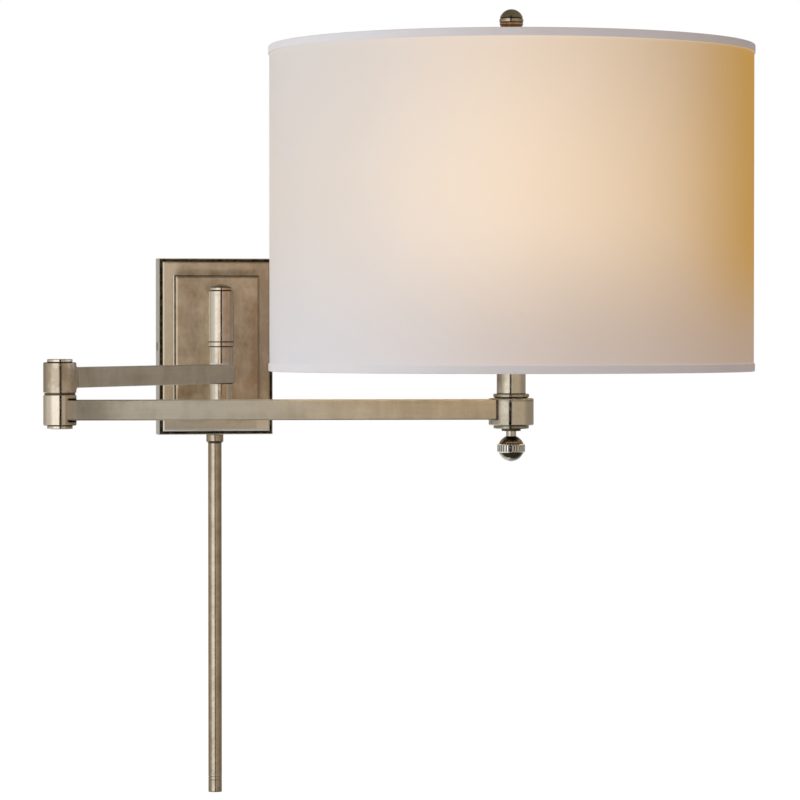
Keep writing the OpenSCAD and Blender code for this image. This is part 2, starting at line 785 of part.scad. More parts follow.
// Strap with two upturned ears that the harp's feet stand against
module harp_saddle() {
    half = ear_x + ear_t;
    color("goldenrod") at_collar() translate([0, 0, post_top]) difference() {
        union() {
            translate([-half, -5, 0]) cube([2 * half, 10, saddle_t]);
            cylinder(d = 26, h = saddle_t);
            for (side = [-1, 1]) translate([side * (ear_x + ear_t / 2) - ear_t / 2, -2.5, 0])
                cube([ear_t, 5, saddle_t + ear_h]);
        }
        translate([0, 0, -1]) cylinder(d = nipple_d + 2 * seat_fit, h = saddle_t + 2);
    }
}

module socket_cup() {
    floor_t = 1.2;
    round_r = 5;
    color("goldenrod") at_collar() translate([0, 0, saddle_top]) difference() {
        rotate_extrude() {
            translate([0, round_r]) square([socket_d / 2, cup_h - round_r]);
            square([socket_d / 2 - round_r, round_r + eps]);
            intersection() {
                translate([socket_d / 2 - round_r, round_r]) circle(r = round_r);
                square([socket_d, round_r + eps]);
            }
        }
        rotate_extrude() difference() {
            translate([0, floor_t]) square([socket_d / 2 - shell_t, cup_h]);
            difference() {
                square([socket_d, round_r]);
                square([socket_d / 2 - round_r, round_r]);
                translate([socket_d / 2 - round_r, round_r]) circle(r = round_r - shell_t);
            }
        }
        translate([0, 0, -1]) cylinder(d = nipple_d + 2 * seat_fit, h = floor_t + 2);
    }
}

module socket_shell() {
    overlap = 6;
    inner_d = socket_d - 2 * shell_t - 2 * seat_fit;
    color("goldenrod") at_collar() translate([0, 0, saddle_top + cup_h - overlap])
        tube(inner_d, inner_d - 2 * shell_t, socket_h - cup_h + overlap);
}

module socket_liner() {
    outer_d = socket_d - 4 * shell_t - 4 * seat_fit;
    color("saddlebrown") at_collar() translate([0, 0, saddle_top + 12])
        tube(outer_d, outer_d - 2 * liner_t, socket_h - 12.5);
}

// Moulded core that carries the centre contact
module socket_core() {
    core_d = socket_d - 4 * shell_t - 2 * liner_t - 6 * seat_fit;
    color("black") at_collar() translate([0, 0, saddle_top]) difference() {
        union() {
            translate([0, 0, 5.2]) cylinder(d = core_d - 6, h = core_h - 5.2);
            translate([0, 0, 12]) cylinder(d = core_d, h = core_h - 12);
            translate([0, 0, core_h - eps]) cylinder(d = 7, h = 1);
        }
        for (side = [-1, 1]) translate([0, side * 7, 4]) cylinder(d = 3.4, h = 5);
    }
}

module screw_shell() {
    outer_d = socket_d - 4 * shell_t - 2 * liner_t - 6 * seat_fit;
    color("goldenrod") at_collar() translate([0, 0, saddle_top + core_h])
        tube(outer_d - 0.6, screw_cap_d + 0.4, socket_h - core_h - 2);
}

// ---------------------------------------------------------------- bulb

// Screw cap of the bulb: tapered insulator, contact and threaded shell
module bulb_base() {
    cap_len = 24;
    color("silver") at_collar() translate([0, 0, bulb_tip]) rotate_extrude() difference() {
        union() {
            translate([0, 0]) square([4, 2]);
            polygon([[0, 1], [5, 1], [screw_cap_d / 2 - 0.6, 6], [0, 6]]);
            translate([0, 6 - eps]) square([screw_cap_d / 2 - 0.6, cap_len - 6]);
            for (turn = [0:4]) translate([screw_cap_d / 2 - 1.3, 8 + turn * 3.6]) circle(r = 1.3, $fn = 32);
        }
        translate([0, 8]) square([screw_cap_d / 2 - 2, cap_len]);
    }
}

// Half outline of the glass: a globe that runs into the neck by one hollow curve
module glass_outline(inset) {
    globe_r = bulb_d / 2;
    neck_r = screw_cap_d / 2 - 2.4;
    hollow_r = 60;
    globe_z = bulb_top - globe_r;
    reach = sqrt(pow(globe_r + hollow_r, 2) - pow(neck_r + hollow_r, 2));
    meet = globe_r / (globe_r + hollow_r);
    neck_z = globe_z - reach;
    foot_z = bulb_tip + 10;
    intersection() {
        translate([0, foot_z - 1]) square([globe_r, bulb_len]);
        translate([0, globe_z]) circle(r = globe_r - inset, $fn = 192);
    }
    difference() {
        translate([0, neck_z]) square([meet * (neck_r + hollow_r), reach * (1 - meet)]);
        translate([neck_r + hollow_r, neck_z]) circle(r = hollow_r + inset, $fn = 256);
    }
    translate([0, foot_z - inset]) square([neck_r - inset, neck_z - foot_z + inset + eps]);
}

module bulb_globe() {
    glass_t = 1;
    color("white", 0.8) at_collar() rotate_extrude() difference() {
        glass_outline(0);
        glass_outline(glass_t);
    }
}

// ---------------------------------------------------------------- harp

// A stretch of the harp's wire bent round a centre, from one angle to another above the level
module wire_bend(centre, bend_r, from, to) {
    translate([centre[0], 0, centre[1]]) rotate([90, 0, 0]) rotate([0, 0, from])
        rotate_extrude(angle = to - from) translate([bend_r, 0]) circle(r = harp_r, $fn = wire_fn);
}

// One side of the harp: straight foot, flare, long side and crown, with a bead where two runs meet
module harp_half() {
    bead_r = harp_r + 0.03;
    flare_top = harp_foot + flare_rise;
    side_centre = [
        flare_x - harp_base - harp_side_r * cos(flare_a),
        flare_top + harp_side_r * sin(flare_a)
    ];
    crown_centre = [-harp_base, harp_top - saddle_top - crown_r];
    cylinder(r = harp_r, h = harp_foot, $fn = wire_fn);
    wire_bend([flare_r, harp_foot], flare_r, 180 - flare_a, 180);
    wire_bend(side_centre, harp_side_r, -flare_a, crown_a);
    wire_bend(crown_centre, crown_r, crown_a, 90);
    translate([0, 0, harp_foot]) sphere(r = bead_r, $fn = wire_fn);
    translate([flare_x - harp_base, 0, flare_top]) sphere(r = bead_r, $fn = wire_fn);
    translate([side_x - harp_base, 0, flare_top + side_rise]) sphere(r = bead_r, $fn = wire_fn);
}

module harp() {
    boss_h = 4.6;
    color("goldenrod") at_collar() {
        for (side = [0, 1]) mirror([side, 0, 0]) translate([harp_base, 0, saddle_top]) harp_half();
        translate([0, 0, washer_top - spider_t - boss_h]) cylinder(d = 9, h = boss_h);
        translate([0, 0, washer_top - spider_t - eps]) cylinder(d = stud_d, h = spider_t + 12);
    }
}

// Sleeves that slide down over the harp's feet and the saddle's ears
module harp_sleeves() {
    color("goldenrod") at_collar() for (side = [-1, 1])
        translate([side * sleeve_x, 0, saddle_top + 0.1]) tube(8.6, 7, 14);
}

// ---------------------------------------------------------------- shade

module shade_spider() {
    ring_z = shade_top - tape_h - ring_wire / 2 - ring_gap;
    spoke_r = 1.7;
    start_r = 10;
    rise = ring_z - (washer_top - spider_t / 2);
    run = ring_r - start_r;
    color("goldenrod") at_collar() difference() {
        union() {
            translate([0, 0, ring_z])
                rotate_extrude() translate([ring_r, 0]) circle(d = ring_wire, $fn = 48);
            translate([0, 0, washer_top - spider_t]) cylinder(d = 24, h = spider_t);
            for (turn = [90, 210, 330]) rotate([0, 0, turn])
                translate([start_r, 0, washer_top - spider_t / 2]) rotate([0, 90 - atan(rise / run), 0])
                    cylinder(r = spoke_r, h = norm([run, rise]), $fn = 48);
        }
        translate([0, 0, washer_top - 10]) cylinder(d = stud_d + 0.4, h = 20);
    }
}

module shade_ring() {
    color("goldenrod") at_collar() translate([0, 0, shade_bottom + tape_h + ring_wire / 2 + ring_gap])
        rotate_extrude() translate([ring_r, 0]) circle(d = ring_wire, $fn = 48);
}

module shade_drum() {
    color("ivory") at_collar() translate([0, 0, shade_bottom + tape_t])
        tube(shade_d, shade_d - 2 * shade_t, shade_h - 2 * tape_t, $fn = 192);
}

// Tape folded over an edge of the drum: outside, over the edge and inside
module edge_tape() {
    fold_in = shade_t + 2 * tape_t;
    rotate_extrude($fn = 192) translate([shade_r + tape_t - fold_in, 0]) difference() {
        square([fold_in, tape_h]);
        translate([tape_t, tape_t]) square([shade_t, tape_h]);
        square([tape_t, eps]);
    }
}

module shade_top_tape() {
    color("gainsboro") at_collar() translate([0, 0, shade_top]) mirror([0, 0, 1]) edge_tape();
}

module shade_bottom_tape() {
    color("gainsboro") at_collar() translate([0, 0, shade_bottom]) edge_tape();
}

// Turned finial: foot, waist, collar ring and a ball with two fine grooves
module finial() {
    ball_r = finial_d / 2;
    ball_h = finial_h - ball_r;
    groove_r = 0.45;
    color("saddlebrown") at_collar() translate([0, 0, washer_top]) difference() {
        rotate_extrude() difference() {
            union() {
                polygon([
                    [0, 0], [6, 0], [6.4, 0.6], [6.4, 2], [4.6, 3.4], [3.9, 6],
                    [4.2, ball_h - ball_r - 4], [6, ball_h - ball_r - 2.6], [6, ball_h - ball_r - 1.2],
                    [4.8, ball_h - ball_r - 0.4], [5.2, ball_h - ball_r + 2], [0, ball_h - ball_r + 2]
                ]);
                intersection() {
                    translate([0, ball_h]) circle(r = ball_r);
                    translate([0, ball_h - ball_r]) square([ball_r, 2 * ball_r]);
                }
            }
            for (up = [-1, 1.8]) translate([sqrt(pow(ball_r, 2) - pow(up, 2)), ball_h + up])
                circle(r = groove_r, $fn = 32);
        }
        translate([0, 0, -1]) cylinder(d = stud_d + 2 * seat_fit, h = 13.5);
    }
}

// ---------------------------------------------------------------- knob

module knob_shaft() {
    top = collar_bottom + collar_floor + 3.5;
    color("silver") at_collar() translate([0, 0, ball_z]) cylinder(d = shaft_d, h = top - ball_z);
}

// Ball with a flat belt around it that the knurled ring sits on
module knob_ball() {
    ball_r = ball_d / 2;
    color("saddlebrown") at_collar() translate([0, 0, ball_z]) difference() {
        sphere(d = ball_d);
        rotate_extrude() translate([ball_r - 1, -knurl_h / 2]) square([3, knurl_h]);
        cylinder(d = shaft_d + 2 * seat_fit, h = ball_d);
    }
}

// Ring with straight grooves around it and bevelled edges
module knob_ring() {
    ball_r = ball_d / 2;
    groove_r = knurl_d * PI / knurl_count / 4;
    color("silver") at_collar() translate([0, 0, ball_z - knurl_h / 2]) difference() {
        bevelled_disc(knurl_d, knurl_h, 0.7);
        translate([0, 0, -1]) cylinder(r = ball_r - 1 + seat_fit, h = knurl_h + 2);
        for (turn = [1:knurl_count]) rotate([0, 0, turn * 360 / knurl_count])
            translate([knurl_d / 2, 0, -1]) cylinder(r = groove_r, h = knurl_h + 2, $fn = 24);
    }
}

// ---------------------------------------------------------------- drawing

wall_strap();
backplate();
side_screws();
terminal_block();
pivot_bracket();
bracket_screws();
pivot_pin();
pivot_washers();
pivot_sleeve();
pivot_cap();
pivot_base_cap();
cord_tube();
tube_ferrule();
tube_locknut();
tube_bush();
upper_arm_tube();
upper_arm_lead();
upper_barrel();
elbow_pin();
elbow_washer();
elbow_top_cap();
elbow_bottom_cap();
lower_arm_tube();
lower_arm_lead();
lower_barrel();
collar_barrel();
collar_flange();
collar_ring();
dimmer_body();
dimmer_nut();
socket_post();
socket_nipple();
harp_saddle();
socket_cup();
socket_shell();
socket_liner();
socket_core();
screw_shell();
bulb_base();
bulb_globe();
harp();
harp_sleeves();
shade_spider();
shade_ring();
shade_drum();
shade_top_tape();
shade_bottom_tape();
finial();
knob_shaft();
knob_ball();
knob_ring();
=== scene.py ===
"""Swing-arm wall lamp: the finish of each piece, a new shade with its tapes, and a plain studio."""

import json
import math

import bpy
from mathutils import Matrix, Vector


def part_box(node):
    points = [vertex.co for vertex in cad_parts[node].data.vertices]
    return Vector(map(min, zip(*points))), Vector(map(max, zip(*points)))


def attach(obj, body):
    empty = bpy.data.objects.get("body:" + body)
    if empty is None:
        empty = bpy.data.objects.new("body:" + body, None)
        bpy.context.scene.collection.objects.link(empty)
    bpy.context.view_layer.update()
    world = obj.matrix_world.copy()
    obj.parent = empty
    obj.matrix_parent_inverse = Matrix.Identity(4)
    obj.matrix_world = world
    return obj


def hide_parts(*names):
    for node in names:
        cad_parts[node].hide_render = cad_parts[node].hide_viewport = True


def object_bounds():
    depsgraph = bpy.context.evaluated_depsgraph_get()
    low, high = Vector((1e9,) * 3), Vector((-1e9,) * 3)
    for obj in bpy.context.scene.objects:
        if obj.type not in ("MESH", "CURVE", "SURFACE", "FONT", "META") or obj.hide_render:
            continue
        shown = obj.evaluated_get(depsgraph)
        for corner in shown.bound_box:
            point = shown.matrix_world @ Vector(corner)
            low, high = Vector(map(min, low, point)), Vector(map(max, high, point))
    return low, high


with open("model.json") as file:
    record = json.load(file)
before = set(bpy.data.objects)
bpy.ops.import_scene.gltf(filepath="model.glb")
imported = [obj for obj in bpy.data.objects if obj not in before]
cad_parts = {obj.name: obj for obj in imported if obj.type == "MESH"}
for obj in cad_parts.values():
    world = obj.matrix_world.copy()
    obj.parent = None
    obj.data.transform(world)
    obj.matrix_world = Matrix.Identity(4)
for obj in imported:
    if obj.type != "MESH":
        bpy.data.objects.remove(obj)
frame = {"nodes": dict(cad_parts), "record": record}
cad_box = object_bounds()
nodes = frame["nodes"]

# ------------------------------------------------------------------ Wall plate
# A hollow casting with a stepped, bevelled face, plated in antique nickel and rubbed back, so that
# black patina stays in the rabbet and in the hollow around the panel, where painted shade darkens
# it too. The band right of the panel is painted paler and greyer, as painted light. Two screws in
# its sides hold it on the stamped strap behind it.

MM = 0.001
BUMP_HEIGHT = 0.2 * MM


class Wire:
    """One socket in a material's node tree, so that shader maths reads as an expression."""

    def __init__(self, tree, socket):
        self.tree = tree
        self.socket = socket

    def node(self, kind, settings, sockets, output=0):
        """Adds a shader node: its settings first, then the values or links of its sockets."""
        made = self.tree.nodes.new("ShaderNode" + kind)
        for name, value in settings.items():
            setattr(made, name, value)
        for key, value in sockets.items():
            if isinstance(value, Wire):
                self.tree.links.new(value.socket, made.inputs[key])
            else:
                made.inputs[key].default_value = value
        return Wire(self.tree, made.outputs[output])

    def maths(self, operation, *values):
        return self.node("Math", {"operation": operation}, dict(enumerate(values)))

    def __add__(self, other):
        return self.maths("ADD", self, other)

    def __sub__(self, other):
        return self.maths("SUBTRACT", self, other)

    def __mul__(self, other):
        return self.maths("MULTIPLY", self, other)

    def __radd__(self, other):
        return self.maths("ADD", other, self)

    def __rsub__(self, other):
        return self.maths("SUBTRACT", other, self)

    def __rmul__(self, other):
        return self.maths("MULTIPLY", other, self)

    def __neg__(self):
        return self.maths("MULTIPLY", -1.0, self)

    def __abs__(self):
        return self.maths("ABSOLUTE", self)

    def least(self, other):
        return self.maths("MINIMUM", self, other)

    def most(self, other):
        return self.maths("MAXIMUM", self, other)

    def rise(self, low, high):
        """0 below low, 1 above high, and smooth between them."""
        settings = {"interpolation_type": "SMOOTHSTEP"}
        return self.node("MapRange", settings, {"Value": self, "From Min": low, "From Max": high})

    def fall(self, low, high):
        """1 below low, 0 above high, and smooth between them."""
        return 1.0 - self.rise(low, high)

    def near(self, level, reach):
        """1 at a level, falling to 0 at a reach from it."""
        return abs(self - level).fall(0.25 * reach, reach)

    def mix(self, first, second, blend="MIX"):
        """The first colour where this is 0 and the second, or the blend of both, where it is 1."""
        settings = {"data_type": "RGBA", "blend_type": blend}
        return self.node("Mix", settings, {0: self, 6: first, 7: second}, 2)

    def bump(self, strength):
        """The surface's direction with this as its height, from 0 to 1."""
        sockets = {"Strength": strength, "Distance": BUMP_HEIGHT, "Height": self}
        return self.node("Bump", {}, sockets)


def rgb(red, green, blue):
    return (red, green, blue, 1.0)


def new_material(name):
    """A material, its shader node and a wire that carries the piece's own coordinates."""
    material = bpy.data.materials.new(name)
    material.use_nodes = True
    shader = material.node_tree.nodes["Principled BSDF"]
    place = Wire(material.node_tree, None).node("TexCoord", {}, {}, "Object")
    return material, shader, place


def axes(place):
    """The three coordinates as numbers."""
    split = place.node("SeparateXYZ", {}, {0: place})
    return [Wire(split.tree, output) for output in split.socket.node.outputs]


def noise(place, scale, detail=3.0, rough=0.55, stretch=(1.0, 1.0, 1.0), seed=0.0):
    """Noise from 0 to 1, of a scale in waves a metre, stretched by an axis and moved by a seed."""
    mapping = {"Vector": place, "Scale": stretch, "Location": (seed, seed, seed)}
    mapped = place.node("Mapping", {}, mapping)
    sockets = {"Vector": mapped, "Scale": scale, "Detail": detail, "Roughness": rough}
    return place.node("TexNoise", {}, sockets)


def plug(shader, **wires):
    """Links wires to the shader's sockets, which are named with underscores for spaces."""
    for name, wire in wires.items():
        wire.tree.links.new(wire.socket, shader.inputs[name.replace("_", " ")])


def cover(material, *pieces):
    """Gives pieces one material in every slot."""
    for piece in pieces:
        if not piece.material_slots:
            piece.data.materials.append(material)
        for each in piece.material_slots:
            each.material = material


BLACK_PATINA = rgb(0.030, 0.026, 0.018)
BRUSHED_BROWN = rgb(0.20, 0.155, 0.105)


def plated_metal(shader, place, pale, brown, grime_and_shade, brushed, gloss, seed, patina=1.0, tint=0.0,
                 speck=1.0, relief=0.10, metallic=1.0):
    """Antique nickel: pale where rubbed, brown in blotches and by the tint, black with patina and
    painted shade where its mask is 1.

    Returns its colour and its roughness, for a piece that changes them in places.
    """
    blotch = noise(place, 75.0, 4.0, 0.55, seed=seed).rise(0.36, 0.66)
    cloud = noise(place, 260.0, 4.0, 0.6, seed=seed + 7.0).rise(0.38, 0.72)
    fleck = noise(place, 1500.0, 2.0, 0.5, seed=seed + 3.0).rise(0.60, 0.80)
    lines = noise(place, 1100.0, 2.0, 0.6, stretch=brushed, seed=seed)
    swell = noise(place, 130.0, 2.0, 0.5, seed=seed + 11.0)
    aged = (patina * (0.60 * blotch + 0.30 * cloud) + tint).most(0.0).least(1.0)
    tone = (0.22 * speck * fleck + 0.14 * lines).mix(aged.mix(pale, brown), BRUSHED_BROWN)
    soot = (grime_and_shade * (0.90 + 0.15 * cloud)).least(1.0)
    colour = soot.mix(tone, BLACK_PATINA)
    roughness = gloss + 0.10 * cloud + 0.05 * fleck + 0.30 * soot
    height = 0.45 * lines + 0.25 * speck * fleck + 1.6 * swell
    plug(shader, Base_Color=colour, Roughness=roughness, Normal=height.bump(relief))
    shader.inputs["Metallic"].default_value = metallic
    return colour, roughness


def plain_finish(name, pieces, first, second, gloss, duller, scale, detail=3.0, wear=None,
                 metallic=0.0):
    """A finish that wanders from a first colour to a second, and is duller near the second."""
    material, shader, place = new_material(name)
    grain = noise(place, scale, detail)
    if wear:
        grain = grain.rise(*wear)
    plug(shader, Base_Color=grain.mix(first, second), Roughness=gloss + duller * grain)
    shader.inputs["Metallic"].default_value = metallic
    cover(material, *(nodes[piece] for piece in pieces))


PLATE_PALE = rgb(0.97, 0.85, 0.66)
PLATE_BROWN = rgb(0.50, 0.36, 0.235)
LIT_BAND_KHAKI = rgb(0.525, 0.42, 0.305)
FOOT_GREY = rgb(0.98, 0.95, 0.88)
SIDE_GREY = rgb(0.66, 0.68, 0.65)
PLATE_METALLIC = 0.86
RABBET = 2.4 * MM
SIDE_BAND = 8.3 * MM
END_BAND = 10.0 * MM
RIM_DEPTH = 16.0 * MM
FACE_DEPTH = 19.0 * MM
PANEL_DEPTH = 23.0 * MM

plate_low, plate_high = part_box("backplate")
plate_half = (plate_high - plate_low) / 2
plate_metal, plate_shader, plate_place = new_material("nickel_plate")
across, inward, upward = axes(plate_place)
depth = -inward
from_side = plate_half.x - abs(across)
from_end = plate_half.z - abs(upward)
from_rim = from_side.least(from_end)
to_panel = (from_side - (RABBET + SIDE_BAND)).least(from_end - (RABBET + END_BAND))
above_panel = upward - (plate_half.z - RABBET - END_BAND)

in_rabbet = from_rim.rise(0.35 * MM, 0.6 * MM) * from_rim.fall(RABBET, RABBET + 0.2 * MM)
in_rabbet = in_rabbet * depth.rise(RIM_DEPTH - 0.3 * MM, RIM_DEPTH)
in_rabbet = in_rabbet * depth.fall(FACE_DEPTH - 1.2 * MM, FACE_DEPTH - 0.8 * MM)
# The panel's foot is darkened by patina and by painted shade in the hollow.
step_shade_and_patina = to_panel.near(-0.1 * MM, 0.9 * MM) * depth.fall(PANEL_DEPTH - 0.8 * MM, PANEL_DEPTH)
# Above the panel's top edge runs a dark band of dirt and painted shade.
top_dirt_and_shade = above_panel.rise(0.2 * MM, 1.4 * MM) * above_panel.fall(2.5 * MM, 6.5 * MM)
top_dirt_and_shade = 0.75 * top_dirt_and_shade * from_side.rise(8.0 * MM, 14.0 * MM) * noise(plate_place, 90.0)
foot_band = upward.fall(-57.0 * MM, -46.0 * MM)
# The band right of the panel is painted paler and greyer, as painted light.
right_band_lit = across.rise(26.5 * MM, 28.5 * MM)
foot_smudge = 0.20 * foot_band * from_rim.rise(2.6 * MM, 5.0 * MM) * (1.0 - right_band_lit)
plate_grime_and_shade = (in_rabbet + step_shade_and_patina + top_dirt_and_shade + foot_smudge).least(1.0)

plate_patch = noise(plate_place, 34.0, 2.0, 0.5, seed=1.7)
plate_rub = noise(plate_place, 85.0, 5.0, 0.65, stretch=(1.0, 1.0, 0.45), seed=3.3)
past_left_band = 0.80 * across.rise(-31.0 * MM, -26.0 * MM)
far_right = (0.30 - foot_band) * across.rise(18.0 * MM, 34.0 * MM)
plate_tint = past_left_band + far_right + 0.7 * (plate_patch - 0.5) + 1.3 * (plate_rub - 0.5)
plate_tint = plate_tint - foot_band - 0.30
plate_colour, _ = plated_metal(
    plate_shader, plate_place, pale=foot_band.mix(PLATE_PALE, FOOT_GREY),
    brown=right_band_lit.mix(PLATE_BROWN, LIT_BAND_KHAKI), grime_and_shade=plate_grime_and_shade, brushed=(1.0, 1.0, 0.10),
    gloss=0.30, seed=0.0, patina=0.35, tint=plate_tint, speck=0.30, relief=0.035,
    metallic=PLATE_METALLIC)
on_outer_side = from_rim.fall(0.02 * MM, 0.2 * MM) * depth.fall(RIM_DEPTH - 0.1 * MM, RIM_DEPTH)
side_streak = noise(plate_place, 160.0, 4.0, stretch=(1.0, 1.0, 0.25)).rise(0.55, 0.8)
side_colour = (0.5 * side_streak).mix(SIDE_GREY, BLACK_PATINA)
plug(plate_shader, Base_Color=on_outer_side.mix(plate_colour, side_colour))
cover(plate_metal, nodes["backplate"])

zinc_plated = ["wall_strap", "bracket_screws", "tube_locknut", "pivot_pin", "elbow_pin",
               "socket_nipple"]
plain_finish("zinc_plating", zinc_plated, rgb(0.50, 0.51, 0.52), rgb(0.68, 0.68, 0.66),
             gloss=0.28, duller=0.2, scale=900.0, detail=4.0, metallic=1.0)
plain_finish("blackened_screws", ["side_screws", "dimmer_nut"], rgb(0.10, 0.085, 0.065),
             rgb(0.30, 0.26, 0.20), gloss=0.35, duller=-0.1, scale=700.0, detail=4.0,
             wear=(0.45, 0.7), metallic=1.0)
plain_finish("ivory_moulding", ["terminal_block"], rgb(0.70, 0.64, 0.50), rgb(0.78, 0.73, 0.60),
             gloss=0.40, duller=0.1, scale=300.0)

# ------------------------------------------------------------------ Wall post
# A cast bracket with two knuckles, a tall turned sleeve with a fine line near its foot, and domed
# caps on a hollow pin. The turned pieces are polished and their joints are black with age; their
# right halves are painted browner, a painted reflection. The thin washers at the joints are dark,
# and the one above the arm's hub is painted white, a painted highlight along the hub's top edge.

POST_PALE = rgb(0.81, 0.78, 0.715)
POST_BROWN = rgb(0.58, 0.44, 0.32)
HIGHLIGHT_WHITE = rgb(0.95, 0.94, 0.91)
FINE_LINE = 3.25 * MM
CAP_EDGE = 2.4 * MM


def joints_black(height, levels, reach=0.6 * MM):
    """Grime that is 1 at each level of a turned piece."""
    grime_and_shade = height.near(levels[0], reach)
    for level in levels[1:]:
        grime_and_shade = grime_and_shade.most(height.near(level, reach))
    return grime_and_shade


sleeve_low, sleeve_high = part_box("pivot_sleeve")
post_metal, post_shader, post_place = new_material("nickel_post")
post_x, _, post_height = axes(post_place)
post_levels = [sleeve_low.z, sleeve_low.z + FINE_LINE, sleeve_high.z, sleeve_high.z + CAP_EDGE]
# The right half of each turned piece is painted browner, a painted reflection.
post_right_reflection = post_x.rise(-6.0 * MM, -2.0 * MM) - 0.5 * post_x.rise(2.5 * MM, 6.0 * MM)
post_grime = joints_black(post_height, post_levels, 0.55 * MM)
plated_metal(post_shader, post_place, POST_PALE, POST_BROWN, post_grime, brushed=(1.0, 1.0, 0.02),
             gloss=0.09, seed=2.0, patina=0.6, tint=0.85 * post_right_reflection - 0.35)
cover(post_metal, nodes["pivot_sleeve"], nodes["pivot_cap"], nodes["pivot_base_cap"],
      nodes["pivot_bracket"])

plain_finish("black_moulding", ["tube_bush", "dimmer_body", "socket_core"],
             rgb(0.015, 0.015, 0.015), rgb(0.04, 0.037, 0.035), gloss=0.45, duller=0.2,
             scale=1500.0)

hub_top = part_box("upper_arm_tube")[1].z
washer, washer_shader, washer_place = new_material("washers")
washer_grain = noise(washer_place, 900.0)
# The washer above the hub is painted white, a painted highlight along the hub's top edge.
above_hub_highlight = axes(washer_place)[2].rise(hub_top - 2.0 * MM, hub_top - 1.0 * MM)
washer_dark = washer_grain.mix(rgb(0.035, 0.028, 0.02), rgb(0.07, 0.055, 0.04))
plug(washer_shader,
     Base_Color=above_hub_highlight.mix(washer_dark, HIGHLIGHT_WHITE),
     Roughness=0.4 + 0.15 * washer_grain)
cover(washer, nodes["pivot_washers"], nodes["elbow_washer"])

# ------------------------------------------------------------------ Cord cover
# A long thin plated tube that runs down the wall. A ferrule with a round lower edge holds it under
# the plate, and a nut inside the plate holds the ferrule. Its sides are painted browner than its
# front, a painted reflection.

TUBE_PALE = rgb(0.68, 0.61, 0.505)
TUBE_BROWN = rgb(0.42, 0.335, 0.245)

ferrule_low, ferrule_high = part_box("tube_ferrule")
tube_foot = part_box("cord_tube")[0].z
tube_metal, tube_shader, tube_place = new_material("nickel_tube")
tube_x, _, tube_height = axes(tube_place)
tube_grime = joints_black(tube_height, [ferrule_high.z, ferrule_low.z, tube_foot])
# The tube's sides are painted browner, a painted reflection.
tube_sides_reflection = 0.8 * tube_x.fall(-3.8 * MM, -2.2 * MM) + 0.5 * tube_x.rise(0.0, 1.5 * MM)
plated_metal(tube_shader, tube_place, TUBE_PALE, TUBE_BROWN, tube_grime, brushed=(1.0, 1.0, 0.02),
             gloss=0.12, seed=4.0, patina=0.7, tint=tube_sides_reflection - 0.1, speck=0.5)
cover(tube_metal, nodes["cord_tube"], nodes["tube_ferrule"])

# ------------------------------------------------------------------ Arms
# Rectangular tubes brushed along their length, duller than the turned pieces, with white lead
# inside. The upper one ends in a round hub between the knuckles, and both darken at the elbow.
# The lower arm's plating is painted paler than the upper one's, as painted light.

UPPER_PALE = rgb(0.82, 0.77, 0.68)
UPPER_BROWN = rgb(0.56, 0.49, 0.40)
# The lower arm is painted paler than the upper, as painted light.
LOWER_PALE_LIT = rgb(0.98, 0.91, 0.77)
LOWER_BROWN_LIT = rgb(0.68, 0.61, 0.49)
ARM_METALLIC = 0.74
HALF_ARM = 9.5 * MM
BARREL_RADIUS = 10.35 * MM
COLLAR_RADIUS = 14.2 * MM


def joint_place(name):
    """Where a joint's axis stands."""
    joint = next(each for each in frame["record"]["behaviour"]["joints"] if each["name"] == name)
    return Vector(joint["pos_m"])


def seen_from(place, axis, turn=0.0):
    """Coordinates measured from an upright axis, in a frame turned about it."""
    sockets = {"Vector": place, "Location": (axis.x, axis.y, 0.0), "Rotation": (0.0, 0.0, turn)}
    return place.node("Mapping", {"vector_type": "TEXTURE"}, sockets)


def off_axis(one, other):
    """How far a point is from an axis, from its two coordinates across that axis."""
    square = one * one + other * other
    return square.maths("SQRT", square)


def arm_finish(shader, along, node, pale, brown, gloss, seed, tint, joint_grime):
    """Plating brushed along an arm, in coordinates that run along it from its first axis."""
    low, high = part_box(node)
    distance, _, height = axes(along)
    # Each arm is darker along its top and bottom edges.
    top_edge_dark = 0.22 * height.near(high.z, 0.8 * MM) * distance.rise(13.0 * MM, 20.0 * MM)
    grime_and_shade = (top_edge_dark + 0.30 * height.near(low.z, 0.5 * MM)).most(joint_grime)
    streak = noise(along, 90.0, 4.0, 0.6, stretch=(0.12, 1.0, 1.0), seed=seed)
    smear = noise(along, 60.0, 4.0, 0.6, stretch=(1.0, 1.0, 0.25), seed=seed + 5.0)
    streaky_tint = tint + 0.9 * (streak - 0.5) + 1.9 * (smear - 0.5)
    plated_metal(shader, along, pale, brown, grime_and_shade, brushed=(0.025, 1.0, 1.0), gloss=gloss,
                 seed=seed, patina=0.35, tint=streaky_tint, speck=0.12, relief=0.025,
                 metallic=ARM_METALLIC)


pivot = joint_place("wall_pivot")
elbow = joint_place("elbow")
collar = joint_place("dimmer_turn")

upper_run = elbow - pivot
upper_metal, upper_shader, upper_place = new_material("nickel_upper_arm")
upper_along = seen_from(upper_place, pivot, math.atan2(upper_run.y, upper_run.x))
upper_distance, upper_aside, _ = axes(upper_along)
from_elbow = off_axis(upper_run.length - upper_distance, upper_aside)
boss_seam = from_elbow.near(BARREL_RADIUS + 1.5 * MM, 0.9 * MM)
upper_tint = 0.22 + 0.5 * upper_distance.rise(170.0 * MM, 215.0 * MM)
arm_finish(upper_shader, upper_along, "upper_arm_tube", UPPER_PALE, UPPER_BROWN, gloss=0.32,
           seed=9.0, tint=upper_tint, joint_grime=0.5 * boss_seam)
cover(upper_metal, nodes["upper_arm_tube"])

